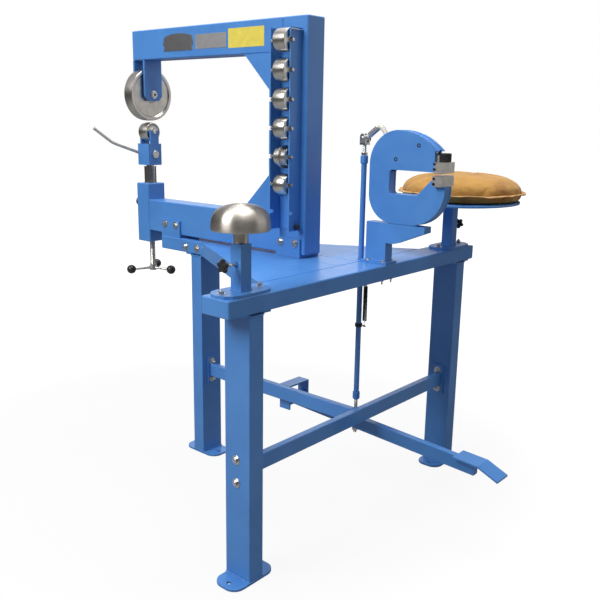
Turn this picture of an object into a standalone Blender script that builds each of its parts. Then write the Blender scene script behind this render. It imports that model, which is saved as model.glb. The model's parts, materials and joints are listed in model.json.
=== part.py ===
"""English wheel station: C frame, upper wheel, lower anvils on a rack, a
foot operated shrinker head, a mushroom dolly and a leather sand bag, all on
one welded stand.  Metres, +Z up.  X runs along the front bar of the stand
from the dolly end to the sand bag end, +Y runs from the front bar to the
wheel, and the origin lies under the middle of the rear foot."""

import math

import bmesh
import bpy
from mathutils import Matrix
from mathutils import Vector

# Clearances
clearance = 0.0003
running_clearance = 0.0004
overrun = 0.004
weld_distance = 0.00002

# Stand
table_top = 0.882
bar_length = 1.308
bar_depth = 0.108
bar_height = 0.051
bar_edge = 0.003
stem_width = 0.108
stem_end_y = 1.017
gusset_reach_x = 0.427
gusset_reach_y = 0.780
gusset_sheet = 0.005
gusset_rod_hole = 0.014

leg_left_x = -0.544
leg_right_x = 0.571
leg_narrow = 0.056
leg_wide = 0.099
leg_edge = 0.003
rear_leg_y = 0.814
foot_overhang = 0.045
foot_sheet = 0.008
top_plate_overhang = 0.030
top_plate_sheet = 0.006
foot_hole_radius = 0.007
foot_hole_share = 0.55

brace_width = 0.025
brace_height = 0.050
brace_centre_z = 0.355
brace_edge = 0.002
end_plate_sheet = 0.006
end_plate_width = 0.046
end_plate_height = 0.116

# C frame
frame_width = 0.0854
frame_section = 0.110
frame_edge = 0.003
column_back_y = 0.2655
arm_over_wheel = 0.131
frame_seat = 0.0108
lower_arm_height = 0.125
upper_corner_leg = 0.1785
lower_corner_leg = 0.197
bracket_sheet = 0.008
bracket_rise = 0.066
bracket_length = 0.110
column_bracket_y = 0.336
end_bracket_y = 0.962

# Wheel, yoke and quill housing
wheel_axis_y = 1.144
wheel_radius = 0.1015
wheel_width = 0.048
wheel_crown = 0.0012
wheel_chamfer = 0.003
wheel_recess = 0.003
wheel_hub_radius = 0.026
wheel_rim_inner = 0.082
wheel_bore = 0.0125
yoke_gap = 0.003
yoke_sheet = 0.009
yoke_half_width = 0.042
yoke_drop = 0.024
yoke_chamfer = 0.017
axle_collar = 0.016
axle_collar_length = 0.008

housing_half_depth = 0.038
housing_drop = 0.039
housing_height = 0.239
housing_floor = 0.019
quill_radius = 0.0245
quill_start = 0.057
quill_length = 0.2495
quill_stub_radius = 0.015
quill_stub_length = 0.030
anvil_drop = 0.005

anvil_radius = 0.038
anvil_width = 0.050
anvil_gap = 0.006
anvil_crown = 0.0022
anvil_bore = 0.008
anvil_hub = 0.014
anvil_face_recess = 0.002
yoke_block_half_x = 0.032
yoke_block_half_y = 0.035
yoke_block_rise = 0.042
anvil_rise = 0.0885
yoke_ear_half_x = 0.020
yoke_ear_rise = 0.005
yoke_ear_gap = 0.0265
yoke_bore_depth = 0.0305
cam_rise = 0.0485
cam_radius = 0.010
cam_disc_radius = 0.0155
cam_disc_length = 0.006
release_boss_radius = 0.013
release_boss_length = 0.020
release_rod_radius = 0.0055
release_reach = 0.236
release_rise = 0.105
release_elbow_reach = 0.148
release_elbow_rise = 0.046

screw_radius = 0.010
hub_radius = 0.016
hub_drop = 0.1275
hub_height = 0.020
arm_radius = 0.005
ball_radius = 0.0145
handle_reach = 0.095
handle_arms = 3
handle_turn = math.radians(42)

lock_rise = 0.157
lock_stud_radius = 0.005
lock_stud_length = 0.023
lock_knob_radius = 0.018
lock_knob_length = 0.022

# Anvil rack
rack_top_drop = 0.040
rack_tail = 0.0618
rack_proud = 0.055
rack_sheet = 0.006
rack_back_sheet = 0.0038
rack_web_front_y = 0.289
rack_web_inner = 0.081
rack_first_drop = 0.039
rack_pitch = 0.0922
rack_slots = 7
rack_spares = 6
rack_axle_depth = 0.012
rack_axle_radius = 0.006
rack_axle_proud = 0.004
rack_anvil_shift = 0.0075
rack_flanged = 5
rack_flange_width = 0.012
rack_barrel_radius = 0.030
rack_knob_radius = 0.010
rack_knob_length = 0.014
rack_knob_rise = 0.013
rack_knob_inset = 0.022
# Crown depth of each spare anvil as a share of its radius
spare_crown_shares = (0.02, 0.05, 0.09, 0.14, 0.20, 0.28)

# Shrinker head
link_x = 0.095
head_width = 0.040
head_plate = 0.008
head_bottom_rise = 0.1385
head_top_rise = 0.438
head_rear_y = 0.090
head_front_y = -0.198
head_rear_radius = 0.125
head_front_radius = 0.128
nose_y = -0.156
nose_top_rise = 0.376
throat_top_rise = 0.312
throat_back_y = 0.010
throat_bottom_rise = 0.236
throat_corner_radius = 0.010
lip_y = -0.096
land_y = -0.158
land_rise = 0.298
seat_rise = 0.270
seat_back_y = -0.162
core_top_rise = 0.306
cover_sheet = 0.004
cover_start_y = -0.030
jaw_width = 0.076
jaw_depth = 0.027
jaw_front_y = -0.193
upper_jaw_bottom_rise = 0.310
upper_jaw_top_rise = 0.344
lower_jaw_top_rise = 0.303
ram_length = 0.036
ram_bottom_rise = 0.322
ram_top_rise = 0.364
knob_radius = 0.024
knob_height = 0.027
knob_edge = 0.002
pivot_rear_y = -0.012
pivot_rear_rise = 0.346
pivot_front_y = -0.096
pivot_front_rise = 0.392
pin_radius = 0.006
lever_thickness = 0.012
lever_boss_radius = 0.013
lever_boss_sweep = 0.3
lever_nose_reach = 0.043
lever_nose_half = 0.007
lever_nose_rise = 0.012
lever_rod_radius = 0.0055
lever_sleeve_radius = 0.009
lever_sleeve_start_share = 0.12
lever_sleeve_end_share = 0.65
lever_eye_radius = 0.010
lever_bend_y = 0.064
lever_bend_rise = 0.451
lever_entry_y = 0.040
lever_entry_rise = 0.420
rocker_boss_radius = 0.012
rocker_front_reach = 0.050
rocker_rear_reach = 0.041
rocker_tip_half = 0.006
rocker_waist_share = 0.12

post_width = 0.040
post_depth = 0.080
post_foot_sheet = 0.008
post_foot_margin = 0.012
cantilever_bottom_rise = 0.072
cantilever_tip_bottom_rise = 0.118
cantilever_top_rise = 0.138
cantilever_tip_y = -0.132
cantilever_taper_y = -0.018

# Pull rod, pedal and spring
rod_y = 0.127
rod_radius = 0.0095
rod_top_rise = 0.324
rod_bottom = 0.402
rod_collar_radius = 0.013
rod_collar_length = 0.028
rod_thread_radius = 0.0065
rod_eye_rise = 0.406
fork_half_width = 0.0135
fork_half_depth = 0.012
fork_slot = 0.0135
fork_floor = 0.006
fork_bottom_rise = 0.386
fork_top_rise = 0.424
eye_pin_radius = 0.004
eye_travel = 0.0032
eye_pin_shift = 0.0027
rod_nut_radius = 0.011
rod_nut_height = 0.010
rod_nut_gap = 0.002
rod_tail = 0.008

pedal_pivot_y = 0.3975
pedal_pivot_z = 0.303
pedal_slope = 0.0541
pedal_height = 0.044
pedal_width = 0.025
pedal_wall = 0.003
pedal_tail = 0.024
pedal_front = 0.7585
pedal_rod_hole = 0.011
plate_width = 0.070
plate_sheet = 0.006
plate_sink = 0.0008
plate_back = 0.690
plate_bend = 0.780
plate_tip = 0.852
plate_tip_drop = 0.026
pivot_arm_half = 0.0245
pivot_arm_sheet = 0.006
pivot_arm_top = 0.380
pivot_arm_bottom = 0.286
pivot_arm_reach = 0.116
pivot_sleeve_radius = 0.011

spring_y = 0.102
spring_coil_radius = 0.0066
spring_wire_radius = 0.0010
spring_coil_top_drop = 0.090
spring_coil_bottom_drop = 0.214
spring_curls = 40
spring_points_per_curl = 8
spring_hook_length = 0.012
spring_hook_start = math.radians(-40)
spring_hook_sweep = math.radians(260)
spring_hook_steps = 7
spring_neck_shares = ((-0.2, 0.55), (0.5, 0.22))
spring_pin_radius = 0.0025
spring_pin_length = 0.010
spring_tab_sheet = 0.004
spring_tab_width = 0.014
spring_low_pin_drop = 0.233

# Dolly and sand bag stations
station_x = 0.556
station_y = 0.053
station_plate_length = 0.194
station_plate_width = 0.100
station_plate_sheet = 0.008
socket_width = 0.040
socket_wall = 0.003
dolly_socket_top_rise = 0.138
bag_socket_top_rise = 0.164
stem_radius = 0.0155
stem_length = 0.085
station_knob_rise = 0.083
station_stud_radius = 0.004
station_stud_length = 0.045
station_knob_radius = 0.020
station_knob_valley = 0.013
station_knob_lobes = 5
station_knob_length = 0.014
station_knob_power = 0.6

dolly_radius = 0.0755
dolly_rim_bottom_rise = 0.174
dolly_rim_top_rise = 0.186
dolly_top_rise = 0.240
dolly_neck_radius = 0.021
dolly_underside_rise = 0.170

tray_radius = 0.250
tray_top_rise = 0.182
tray_sheet = 0.005
tray_rim = 0.012
tray_collar_radius = 0.024

bag_radius = 0.226
bag_shift_x = 0.022
bag_shift_y = -0.026
bag_height = 0.100
bag_wave = 0.0022
bag_waves = 7
bag_segments = 26
bag_wave_levels = (6, 7)
bag_draw_levels = (5, 6, 7, 8)
# Rings of the bag from top to bottom: radius share and height share
bag_ring_shares = (
    (0.34, 0.985), (0.62, 0.930), (0.84, 0.790), (0.945, 0.600), (0.975, 0.400),
    (1.000, 0.285), (1.000, 0.245), (0.945, 0.180), (0.880, 0.055), (0.500, 0.0),
)

wheel_steps = 38
dolly_steps = 28
spare_steps = 18
tread_steps = 2
spare_tread_steps = 3
round_steps = 24
small_steps = 16
tray_steps = 34
ball_steps = 12
ball_rings = 7

# Heights that follow from the sizes above, from the table upward
bracket_top = table_top + bracket_rise
housing_bottom = table_top - housing_drop
housing_top = housing_bottom + housing_height
lock_z = housing_bottom + lock_rise
hub_bottom = housing_bottom - hub_drop
quill_bottom = housing_bottom + quill_start
quill_top = quill_bottom + quill_length
cam_z = quill_top + cam_rise
yoke_block_top = cam_z + yoke_block_rise
anvil_axis_z = cam_z + anvil_rise
wheel_axis_z = anvil_axis_z + anvil_radius + anvil_gap + wheel_radius
frame_top = wheel_axis_z + arm_over_wheel + frame_section
rack_top = frame_top - rack_top_drop
rack_first_z = rack_top - rack_first_drop
rack_bottom = rack_first_z - rack_pitch * (rack_slots - 1) - rack_tail
rack_knob_z = rack_bottom + rack_knob_rise
head_bottom = table_top + head_bottom_rise
head_top = table_top + head_top_rise
nose_top = table_top + nose_top_rise
throat_top = table_top + throat_top_rise
throat_bottom = table_top + throat_bottom_rise
land_z = table_top + land_rise
seat_z = table_top + seat_rise
core_top = table_top + core_top_rise
upper_jaw_bottom = table_top + upper_jaw_bottom_rise
upper_jaw_top = table_top + upper_jaw_top_rise
lower_jaw_top = table_top + lower_jaw_top_rise
ram_bottom = table_top + ram_bottom_rise
ram_top = table_top + ram_top_rise
pivot_rear_z = table_top + pivot_rear_rise
pivot_front_z = table_top + pivot_front_rise
lever_bend_z = table_top + lever_bend_rise
lever_entry_z = table_top + lever_entry_rise
cantilever_bottom = table_top + cantilever_bottom_rise
cantilever_tip_bottom = table_top + cantilever_tip_bottom_rise
cantilever_top = table_top + cantilever_top_rise
rod_top = table_top + rod_top_rise
rod_eye_z = table_top + rod_eye_rise
fork_bottom = table_top + fork_bottom_rise
fork_top = table_top + fork_top_rise
spring_coil_top = table_top - spring_coil_top_drop
spring_coil_bottom = table_top - spring_coil_bottom_drop
spring_low_pin_z = table_top - spring_low_pin_drop
dolly_socket_top = table_top + dolly_socket_top_rise
bag_socket_top = table_top + bag_socket_top_rise
station_knob_z = table_top + station_knob_rise
dolly_rim_bottom = table_top + dolly_rim_bottom_rise
dolly_rim_top = table_top + dolly_rim_top_rise
dolly_top = table_top + dolly_top_rise
dolly_underside = table_top + dolly_underside_rise
tray_top = table_top + tray_top_rise


# Utilities
def clear_scene():
    for item in list(bpy.data.objects):
        bpy.data.objects.remove(item, do_unlink=True)


def collection(name):
    found = bpy.data.collections.get(name)
    if found is None:
        found = bpy.data.collections.new(name)
        bpy.context.scene.collection.children.link(found)
    return found


def material(name, colour, roughness, metallic):
    made = bpy.data.materials.get(name)
    if made is not None:
        return made
    made = bpy.data.materials.new(name)
    made.use_nodes = True
    shader = made.node_tree.nodes["Principled BSDF"]
    shader.inputs["Base Color"].default_value = (*colour, 1)
    shader.inputs["Roughness"].default_value = roughness
    shader.inputs["Metallic"].default_value = metallic
    made.diffuse_color = (*colour, 1)
    return made


def pivot(name, x, y, z, parent):
    empty = bpy.data.objects.new(name, None)
    collection("english_wheel").objects.link(empty)
    empty.parent = parent
    empty.location = Vector((x, y, z)) - place_of(parent)
    empty["place"] = (x, y, z)
    return empty


def place_of(item):
    return Vector(item["place"])


def link(item, parent, home="english_wheel"):
    """Put an object that sits at a stand position under its parent empty."""
    collection(home).objects.link(item)
    item.parent = parent
    item.location = item.location - place_of(parent)
    if home == "cutters":
        item.hide_render = True
        item.display_type = "WIRE"
    return item


def finish(item, look, parent, home="english_wheel", smooth=False):
    item.data.materials.clear()
    item.data.materials.append(look)
    if smooth:
        item.data.shade_smooth()
        item.data.set_sharp_from_angle(angle=math.radians(35))
    return link(item, parent, home)


def bevel(item, width, segments=1):
    made = item.modifiers.new("Rounded edges", "BEVEL")
    made.width = width
    made.segments = segments
    made.limit_method = "ANGLE"
    made.angle_limit = math.radians(40)
    made.use_clamp_overlap = True


def box(name, low, high, look, parent, edge=0, home="english_wheel"):
    low = Vector(low)
    high = Vector(high)
    mesh = bpy.data.meshes.new(name)
    shape = bmesh.new()
    bmesh.ops.create_cube(shape, size=1)
    bmesh.ops.scale(shape, vec=high - low, verts=shape.verts)
    shape.to_mesh(mesh)
    shape.free()
    item = bpy.data.objects.new(name, mesh)
    item.location = (low + high) / 2
    if edge:
        bevel(item, edge)
    return finish(item, look, parent, home)


AXES = {
    "x": Matrix(((0, 0, 1), (1, 0, 0), (0, 1, 0))),
    "y": Matrix(((1, 0, 0), (0, 0, -1), (0, 1, 0))),
    "z": Matrix.Identity(3),
}


def solid_from_curve(item):
    """Turn a curve object into a closed mesh object at the same place."""
    bpy.context.scene.collection.objects.link(item)
    bpy.context.view_layer.update()
    evaluated = item.evaluated_get(bpy.context.evaluated_depsgraph_get())
    mesh = bpy.data.meshes.new_from_object(evaluated)
    shape = bmesh.new()
    shape.from_mesh(mesh)
    bmesh.ops.remove_doubles(shape, verts=shape.verts, dist=weld_distance)
    shape.to_mesh(mesh)
    shape.free()
    made = bpy.data.objects.new(item.name + "_solid", mesh)
    made.matrix_world = item.matrix_world.copy()
    name = item.name
    bpy.data.objects.remove(item, do_unlink=True)
    made.name = name
    return made


def prism(name, outline, axis, low, high, look, parent, edge=0, home="english_wheel", smooth=False):
    """A flat outline in the plane across one axis, with its real thickness."""
    data = bpy.data.curves.new(name, "CURVE")
    data.dimensions = "2D"
    data.fill_mode = "BOTH"
    data.extrude = (high - low) / 2
    line = data.splines.new("POLY")
    line.points.add(len(outline) - 1)
    for point, (a, b) in zip(line.points, outline):
        point.co = (a, b, 0, 1)
    line.use_cyclic_u = True
    item = bpy.data.objects.new(name, data)
    frame = AXES[axis].to_4x4()
    middle = Vector((0, 0, (low + high) / 2))
    if axis == "y":
        middle = -middle
    item.matrix_world = frame @ Matrix.Translation(middle)
    made = solid_from_curve(item)
    if edge:
        bevel(made, edge)
    return finish(made, look, parent, home, smooth)


TURNS = {"x": (0, math.pi / 2, 0), "y": (-math.pi / 2, 0, 0), "z": (0, 0, 0)}


def turned(name, profile, axis, place, look, parent, steps=round_steps, home="english_wheel", turn=0):
    """A turned piece.  The profile gives radius and height, top to bottom."""
    mesh = bpy.data.meshes.new(name)
    shape = bmesh.new()
    closed = profile[0] == profile[-1]
    corners = profile[:-1] if closed else profile
    verts = [shape.verts.new((radius, 0, height)) for radius, height in corners]
    for first, second in zip(verts, verts[1:]):
        shape.edges.new((first, second))
    if closed:
        shape.edges.new((verts[-1], verts[0]))
    bmesh.ops.rotate(shape, verts=shape.verts, cent=(0, 0, 0), matrix=Matrix.Rotation(turn, 3, "Z"))
    shape.to_mesh(mesh)
    shape.free()
    item = bpy.data.objects.new(name, mesh)
    item.rotation_euler = TURNS[axis]
    item.location = place
    screw = item.modifiers.new("Turned", "SCREW")
    screw.axis = "Z"
    screw.angle = 2 * math.pi
    screw.steps = steps
    screw.render_steps = steps
    screw.use_merge_vertices = True
    screw.merge_threshold = weld_distance
    screw.use_smooth_shade = True
    return finish(item, look, parent, home)


def rod(name, radius, axis, low, high, across, look, parent, steps=small_steps, home="english_wheel",
        turn=0):
    """A plain round bar between two places along one axis."""
    first, second = across
    place = {"x": (low, first, second), "y": (first, low, second), "z": (first, second, low)}[axis]
    profile = ((0, high - low), (radius, high - low), (radius, 0), (0, 0))
    return turned(name, profile, axis, place, look, parent, steps, home, turn)


def wire(name, points, radius, look, parent, home="english_wheel", resolution=2, keep_curve=False):
    data = bpy.data.curves.new(name, "CURVE")
    data.dimensions = "3D"
    data.bevel_depth = radius
    data.bevel_resolution = resolution
    data.use_fill_caps = True
    line = data.splines.new("POLY")
    line.points.add(len(points) - 1)
    for point, place in zip(line.points, points):
        point.co = (*place, 1)
    item = bpy.data.objects.new(name, data)
    if keep_curve:
        data.materials.append(look)
        return link(item, parent, home)
    return finish(solid_from_curve(item), look, parent, home, smooth=True)


def boolean(item, other, operation):
    made = item.modifiers.new(operation.title() + " " + other.name, "BOOLEAN")
    made.operation = operation
    made.object = other
    made.solver = "EXACT"


def cut(item, *cutters):
    for cutter in cutters:
        boolean(item, cutter, "DIFFERENCE")
    return item


def join(item, *pieces):
    for piece in pieces:
        boolean(item, piece, "UNION")
    return item


def arc(centre, radius, start, end, steps):
    return [
        (centre[0] + radius * math.cos(start + (end - start) * i / steps),
         centre[1] + radius * math.sin(start + (end - start) * i / steps))
        for i in range(steps + 1)
    ]


def stadium(length, width, across_y, centre, steps=6):
    """A plate outline with two half round ends."""
    radius = width / 2
    reach = length / 2 - radius
    points = arc((reach, 0), radius, -math.pi / 2, math.pi / 2, steps)
    points += arc((-reach, 0), radius, math.pi / 2, 3 * math.pi / 2, steps)
    if across_y:
        points = [(-b, a) for a, b in points]
    return [(centre[0] + a, centre[1] + b) for a, b in points]


def star(radius, valley, lobes, steps=3):
    """A hand knob outline: round lobes with valleys between them."""
    points = []
    for i in range(lobes * steps * 2):
        angle = math.pi * i / (lobes * steps)
        wave = (1 + math.cos(lobes * angle)) / 2
        reach = valley + (radius - valley) * wave ** station_knob_power
        points.append((reach * math.cos(angle), reach * math.sin(angle)))
    return points


# Looks
def looks():
    return {
        "blue": material("blue paint", (0.10, 0.30, 0.68), 0.42, 0.0),
        "steel": material("ground steel", (0.66, 0.66, 0.67), 0.22, 1.0),
        "dark": material("dark steel", (0.20, 0.20, 0.21), 0.45, 0.8),
        "black": material("black plastic", (0.02, 0.02, 0.02), 0.5, 0.0),
        "zinc": material("zinc plate", (0.62, 0.60, 0.56), 0.35, 1.0),
        "leather": material("tan leather", (0.56, 0.31, 0.11), 0.75, 0.0),
        "cutter": material("cutter", (1, 0, 0), 0.5, 0.0),
    }


# Stand
def table(root, look):
    blue = look["blue"]
    low = table_top - bar_height
    bar = box("table_bar", (-bar_length / 2, 0, low), (bar_length / 2, bar_depth, table_top), blue,
              root, bar_edge)
    tab_bottom = low - spring_tab_width
    tab_y = spring_y + spring_pin_length / 2 + spring_wire_radius
    tab = box("spring_tab", (link_x - spring_tab_width / 2, bar_depth - spring_tab_sheet, tab_bottom),
              (link_x + spring_tab_width / 2, bar_depth, low + overrun / 2), blue, root, 0, "cutters")
    pin_z = top_pin_z()
    pin = rod("spring_top_pin", spring_pin_radius, "y", spring_y - spring_pin_length / 2,
              bar_depth - spring_tab_sheet / 2,
              (link_x, pin_z), blue, root, small_steps, "cutters")
    join(bar, tab, pin)
    half = stem_width / 2
    box("table_stem", (-half, bar_depth + clearance, low), (half, stem_end_y, table_top), blue, root,
        bar_edge)
    for side, name in ((-1, "gusset_left"), (1, "gusset_right")):
        inner = half + clearance
        near = bar_depth + clearance
        outline = [(side * inner, near), (side * gusset_reach_x, near), (side * inner, gusset_reach_y)]
        if side < 0:
            outline.reverse()
        plate = prism(name, outline, "z", low, table_top, blue, root)
        run = math.hypot(gusset_reach_x - inner, gusset_reach_y - near)
        slope = (gusset_reach_y - near) / (gusset_reach_x - inner)
        slope_x = gusset_sheet * run / (gusset_reach_y - near)
        slope_y = gusset_sheet * run / (gusset_reach_x - inner)
        cavity = [
            (side * (inner - overrun), near - overrun),
            (side * (gusset_reach_x - slope_x + overrun / slope), near - overrun),
            (side * (inner - overrun), gusset_reach_y - slope_y + overrun * slope),
        ]
        if side < 0:
            cavity.reverse()
        hollow = prism(name + "_hollow", cavity, "z", low - overrun, table_top - gusset_sheet,
                       look["cutter"], root, 0, "cutters")
        cut(plate, hollow)
        if side > 0:
            hole = rod("rod_hole", gusset_rod_hole, "z", table_top - gusset_sheet - overrun,
                       table_top + overrun,
                       (link_x, rod_y), look["cutter"], root, small_steps, "cutters")
            cut(plate, hole)


def top_pin_z():
    return table_top - bar_height - spring_tab_width + spring_pin_radius * 2


def leg(name, x, y, turned_leg, root, look):
    blue = look["blue"]
    wide_x = leg_wide if turned_leg else leg_narrow
    wide_y = leg_narrow if turned_leg else leg_wide
    top = table_top - bar_height - clearance
    body = box(name, (x - wide_x / 2, y - wide_y / 2, foot_sheet / 2),
               (x + wide_x / 2, y + wide_y / 2, top), blue, root, leg_edge)
    foot = prism(name + "_foot", stadium(leg_narrow + 2 * foot_overhang, leg_wide, turned_leg, (x, y)),
                 "z",
                 0, foot_sheet, blue, root, 0, "cutters")
    reach_x = wide_x / 2 + (0 if turned_leg else top_plate_overhang)
    reach_y = wide_y / 2 + (top_plate_overhang if turned_leg else 0)
    head = box(name + "_head", (x - reach_x, y - reach_y, top - top_plate_sheet),
               (x + reach_x, y + reach_y, top), blue, root, 0, "cutters")
    join(body, foot, head)
    hole_reach = leg_narrow / 2 + foot_overhang * foot_hole_share
    for side, tag in ((-1, "_hole_a"), (1, "_hole_b")):
        centre = (x, y + side * hole_reach) if turned_leg else (x + side * hole_reach, y)
        cut(body, rod(name + tag, foot_hole_radius, "z", -overrun, foot_sheet + overrun, centre,
                      look["cutter"], root, small_steps, "cutters"))
    return body


def stand(root, look):
    blue = look["blue"]
    table(root, look)
    middle = bar_depth / 2
    leg("leg_left", leg_left_x, middle, False, root, look)
    leg("leg_right", leg_right_x, middle, False, root, look)
    leg("leg_rear", 0, rear_leg_y, True, root, look)
    low = brace_centre_z - brace_height / 2
    high = brace_centre_z + brace_height / 2
    left = leg_left_x + leg_narrow / 2 + clearance
    right = leg_right_x - leg_narrow / 2 - clearance
    half = brace_width / 2
    cross = box("cross_brace", (left, middle - half, low), (right, middle + half, high), blue, root,
                brace_edge)
    plate_low = brace_centre_z - end_plate_height / 2
    plate_high = brace_centre_z + end_plate_height / 2
    wide = end_plate_width / 2
    join(cross,
         box("cross_end_left", (left, middle - wide, plate_low),
             (left + end_plate_sheet, middle + wide, plate_high), blue, root, 0, "cutters"),
         box("cross_end_right", (right - end_plate_sheet, middle - wide, plate_low),
             (right, middle + wide, plate_high), blue, root, 0, "cutters"))
    front = middle + half + clearance
    rear = rear_leg_y - leg_narrow / 2 - clearance
    stem = box("stem_brace", (-half, front, low), (half, rear, high), blue, root, brace_edge)
    join(stem, box("stem_end", (-wide, rear - end_plate_sheet, plate_low), (wide, rear, plate_high),
                   blue, root, 0, "cutters"))


# C frame
def frame_seat_z():
    return table_top + frame_seat


def column_front_y():
    return column_back_y + frame_section


def arm_end_y():
    return wheel_axis_y + wheel_width / 2 + yoke_gap + yoke_sheet


def c_frame(root, look):
    blue = look["blue"]
    half = frame_width / 2
    seat = frame_seat_z()
    front = column_front_y()
    low_top = seat + lower_arm_height
    under = frame_top - frame_section
    box("frame_column", (-half, column_back_y, seat), (half, front, frame_top), blue, root, frame_edge)
    box("frame_upper_arm", (-half, front + clearance, under), (half, arm_end_y(), frame_top), blue,
        root, frame_edge)
    housing_face = wheel_axis_y - housing_half_depth - clearance
    box("frame_lower_arm", (-half, front + clearance, seat), (half, housing_face, low_top), blue, root,
        frame_edge)
    gap = clearance
    upper = [(front + gap, under - gap), (front + gap, under - upper_corner_leg),
             (front + upper_corner_leg, under - gap)]
    prism("frame_upper_corner", upper, "x", -half, half, blue, root)
    lower = [(front + gap, low_top + gap), (front + lower_corner_leg, low_top + gap),
             (front + gap, low_top + lower_corner_leg)]
    prism("frame_lower_corner", lower, "x", -half, half, blue, root)
    inner = half + clearance
    outer = inner + bracket_sheet
    floor = table_top + clearance
    shelf = seat - clearance
    outline = [(-outer, floor), (outer, floor), (outer, bracket_top), (inner, bracket_top),
               (inner, shelf),
               (-inner, shelf), (-inner, bracket_top), (-outer, bracket_top)]
    for name, y in (("column_bracket", column_bracket_y), ("end_bracket", end_bracket_y)):
        prism(name, outline, "y", y - bracket_length / 2, y + bracket_length / 2, blue, root)


# Upper wheel
def upper_wheel(root, look):
    blue = look["blue"]
    inner = wheel_width / 2 + yoke_gap
    top = frame_top - frame_section - clearance
    low = wheel_axis_z - yoke_drop
    half = yoke_half_width
    outline = [(-half, top), (-half, low + yoke_chamfer), (-half + yoke_chamfer, low),
               (half - yoke_chamfer, low),
               (half, low + yoke_chamfer), (half, top)]
    through = inner + yoke_sheet + overrun
    axle = rod("axle_hole", wheel_bore + clearance, "y", wheel_axis_y - through, wheel_axis_y + through,
               (0, wheel_axis_z), look["cutter"], root, round_steps, "cutters")
    first = prism("upper_yoke_inner", outline, "y", wheel_axis_y - inner - yoke_sheet,
                  wheel_axis_y - inner, blue, root)
    second = prism("upper_yoke_outer", outline, "y", wheel_axis_y + inner,
                   wheel_axis_y + inner + yoke_sheet, blue, root)
    cut(first, axle)
    cut(second, axle)
    reach = inner + yoke_sheet + clearance
    end = reach + axle_collar_length
    profile = ((0, end), (axle_collar, end), (axle_collar, reach), (wheel_bore, reach),
               (wheel_bore, -reach),
               (axle_collar, -reach), (axle_collar, -end), (0, -end))
    turned("upper_axle", profile, "y", (0, wheel_axis_y, wheel_axis_z), look["dark"], root)
    spin = pivot("upper_wheel_spin", 0, wheel_axis_y, wheel_axis_z, root)
    turned("upper_wheel",
           wheel_profile(wheel_radius, wheel_width, wheel_bore + running_clearance, wheel_crown,
                         wheel_chamfer,
                                        wheel_recess, wheel_hub_radius, wheel_rim_inner),
           "y", (0, wheel_axis_y, wheel_axis_z), look["steel"], spin, wheel_steps)


def wheel_profile(radius, width, bore, crown, chamfer, recess, hub, rim):
    """A turned wheel with a bored hub, recessed faces and a crowned tread."""
    half = width / 2
    points = [(bore, half), (hub, half), (hub + recess, half - recess), (rim - recess, half - recess),
              (rim, half)]
    flank = half - chamfer
    points.append((radius - crown - chamfer, half))
    for i in range(tread_steps + 1):
        share = 1 - 2 * i / tread_steps
        points.append((radius - crown * share * share, flank * share))
    points.append((radius - crown - chamfer, -half))
    points += [(rim, -half), (rim - recess, -half + recess), (hub + recess, -half + recess),
               (hub, -half), (bore, -half), (bore, half)]
    return points


# Housing, quill, anvil
def housing(root, look):
    blue = look["blue"]
    half = frame_width / 2
    body = box("quill_housing", (-half, wheel_axis_y - housing_half_depth, housing_bottom),
               (half, wheel_axis_y + housing_half_depth, housing_top), blue, root, frame_edge)
    floor = housing_bottom + housing_floor
    wide = quill_radius + clearance
    tight = screw_radius + running_clearance
    profile = ((0, housing_top + overrun), (wide, housing_top + overrun), (wide, floor), (tight, floor),
               (tight, housing_bottom - overrun),
               (0, housing_bottom - overrun))
    bore = turned("quill_bore", profile, "z", (0, wheel_axis_y, 0), look["cutter"], root, round_steps,
                  "cutters")
    outer = wheel_axis_y + housing_half_depth
    lock = rod("lock_bore", lock_stud_radius + running_clearance, "y",
               wheel_axis_y + quill_radius - overrun, outer + overrun,
               (0, lock_z), look["cutter"], root, small_steps, "cutters", math.pi / small_steps)
    cut(body, bore, lock)
    turn = pivot("lock_turn", 0, outer, lock_z, root)
    stud_inner = -(housing_half_depth - quill_radius) + running_clearance * 2
    knob_low = lock_stud_length
    knob_high = knob_low + lock_knob_length
    profile = ((0, knob_high), (lock_knob_radius - knob_edge, knob_high),
               (lock_knob_radius, knob_high - knob_edge),
               (lock_knob_radius, knob_low + knob_edge), (lock_knob_radius - knob_edge, knob_low),
               (lock_stud_radius, knob_low), (lock_stud_radius, stud_inner), (0, stud_inner))
    turned("quill_lock_knob", profile, "y", (0, outer, lock_z), look["black"], turn, small_steps)


def quill(root, look):
    steel = look["steel"]
    rise = pivot("quill_rise", 0, wheel_axis_y, quill_bottom, root)
    low = quill_bottom
    stub = quill_top + quill_stub_length - low
    profile = ((0, stub), (quill_stub_radius, stub), (quill_stub_radius, quill_top - low),
               (quill_radius, quill_top - low),
               (quill_radius, 0), (0, 0))
    turned("quill", profile, "z", (0, wheel_axis_y, low), steel, rise)
    drop = pivot("yoke_drop", 0, wheel_axis_y, cam_z, rise)
    lower_yoke(drop, look)
    spin = pivot("anvil_spin", 0, wheel_axis_y, anvil_axis_z, drop)
    turned("anvil", wheel_profile(anvil_radius, anvil_width, anvil_bore + running_clearance,
                                  anvil_crown, wheel_chamfer / 2,
                                  anvil_face_recess, anvil_hub, anvil_radius - anvil_hub / 2),
           "y", (0, wheel_axis_y, anvil_axis_z), steel, spin)
    release(drop, look)
    feed_screw(rise, look)


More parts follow.
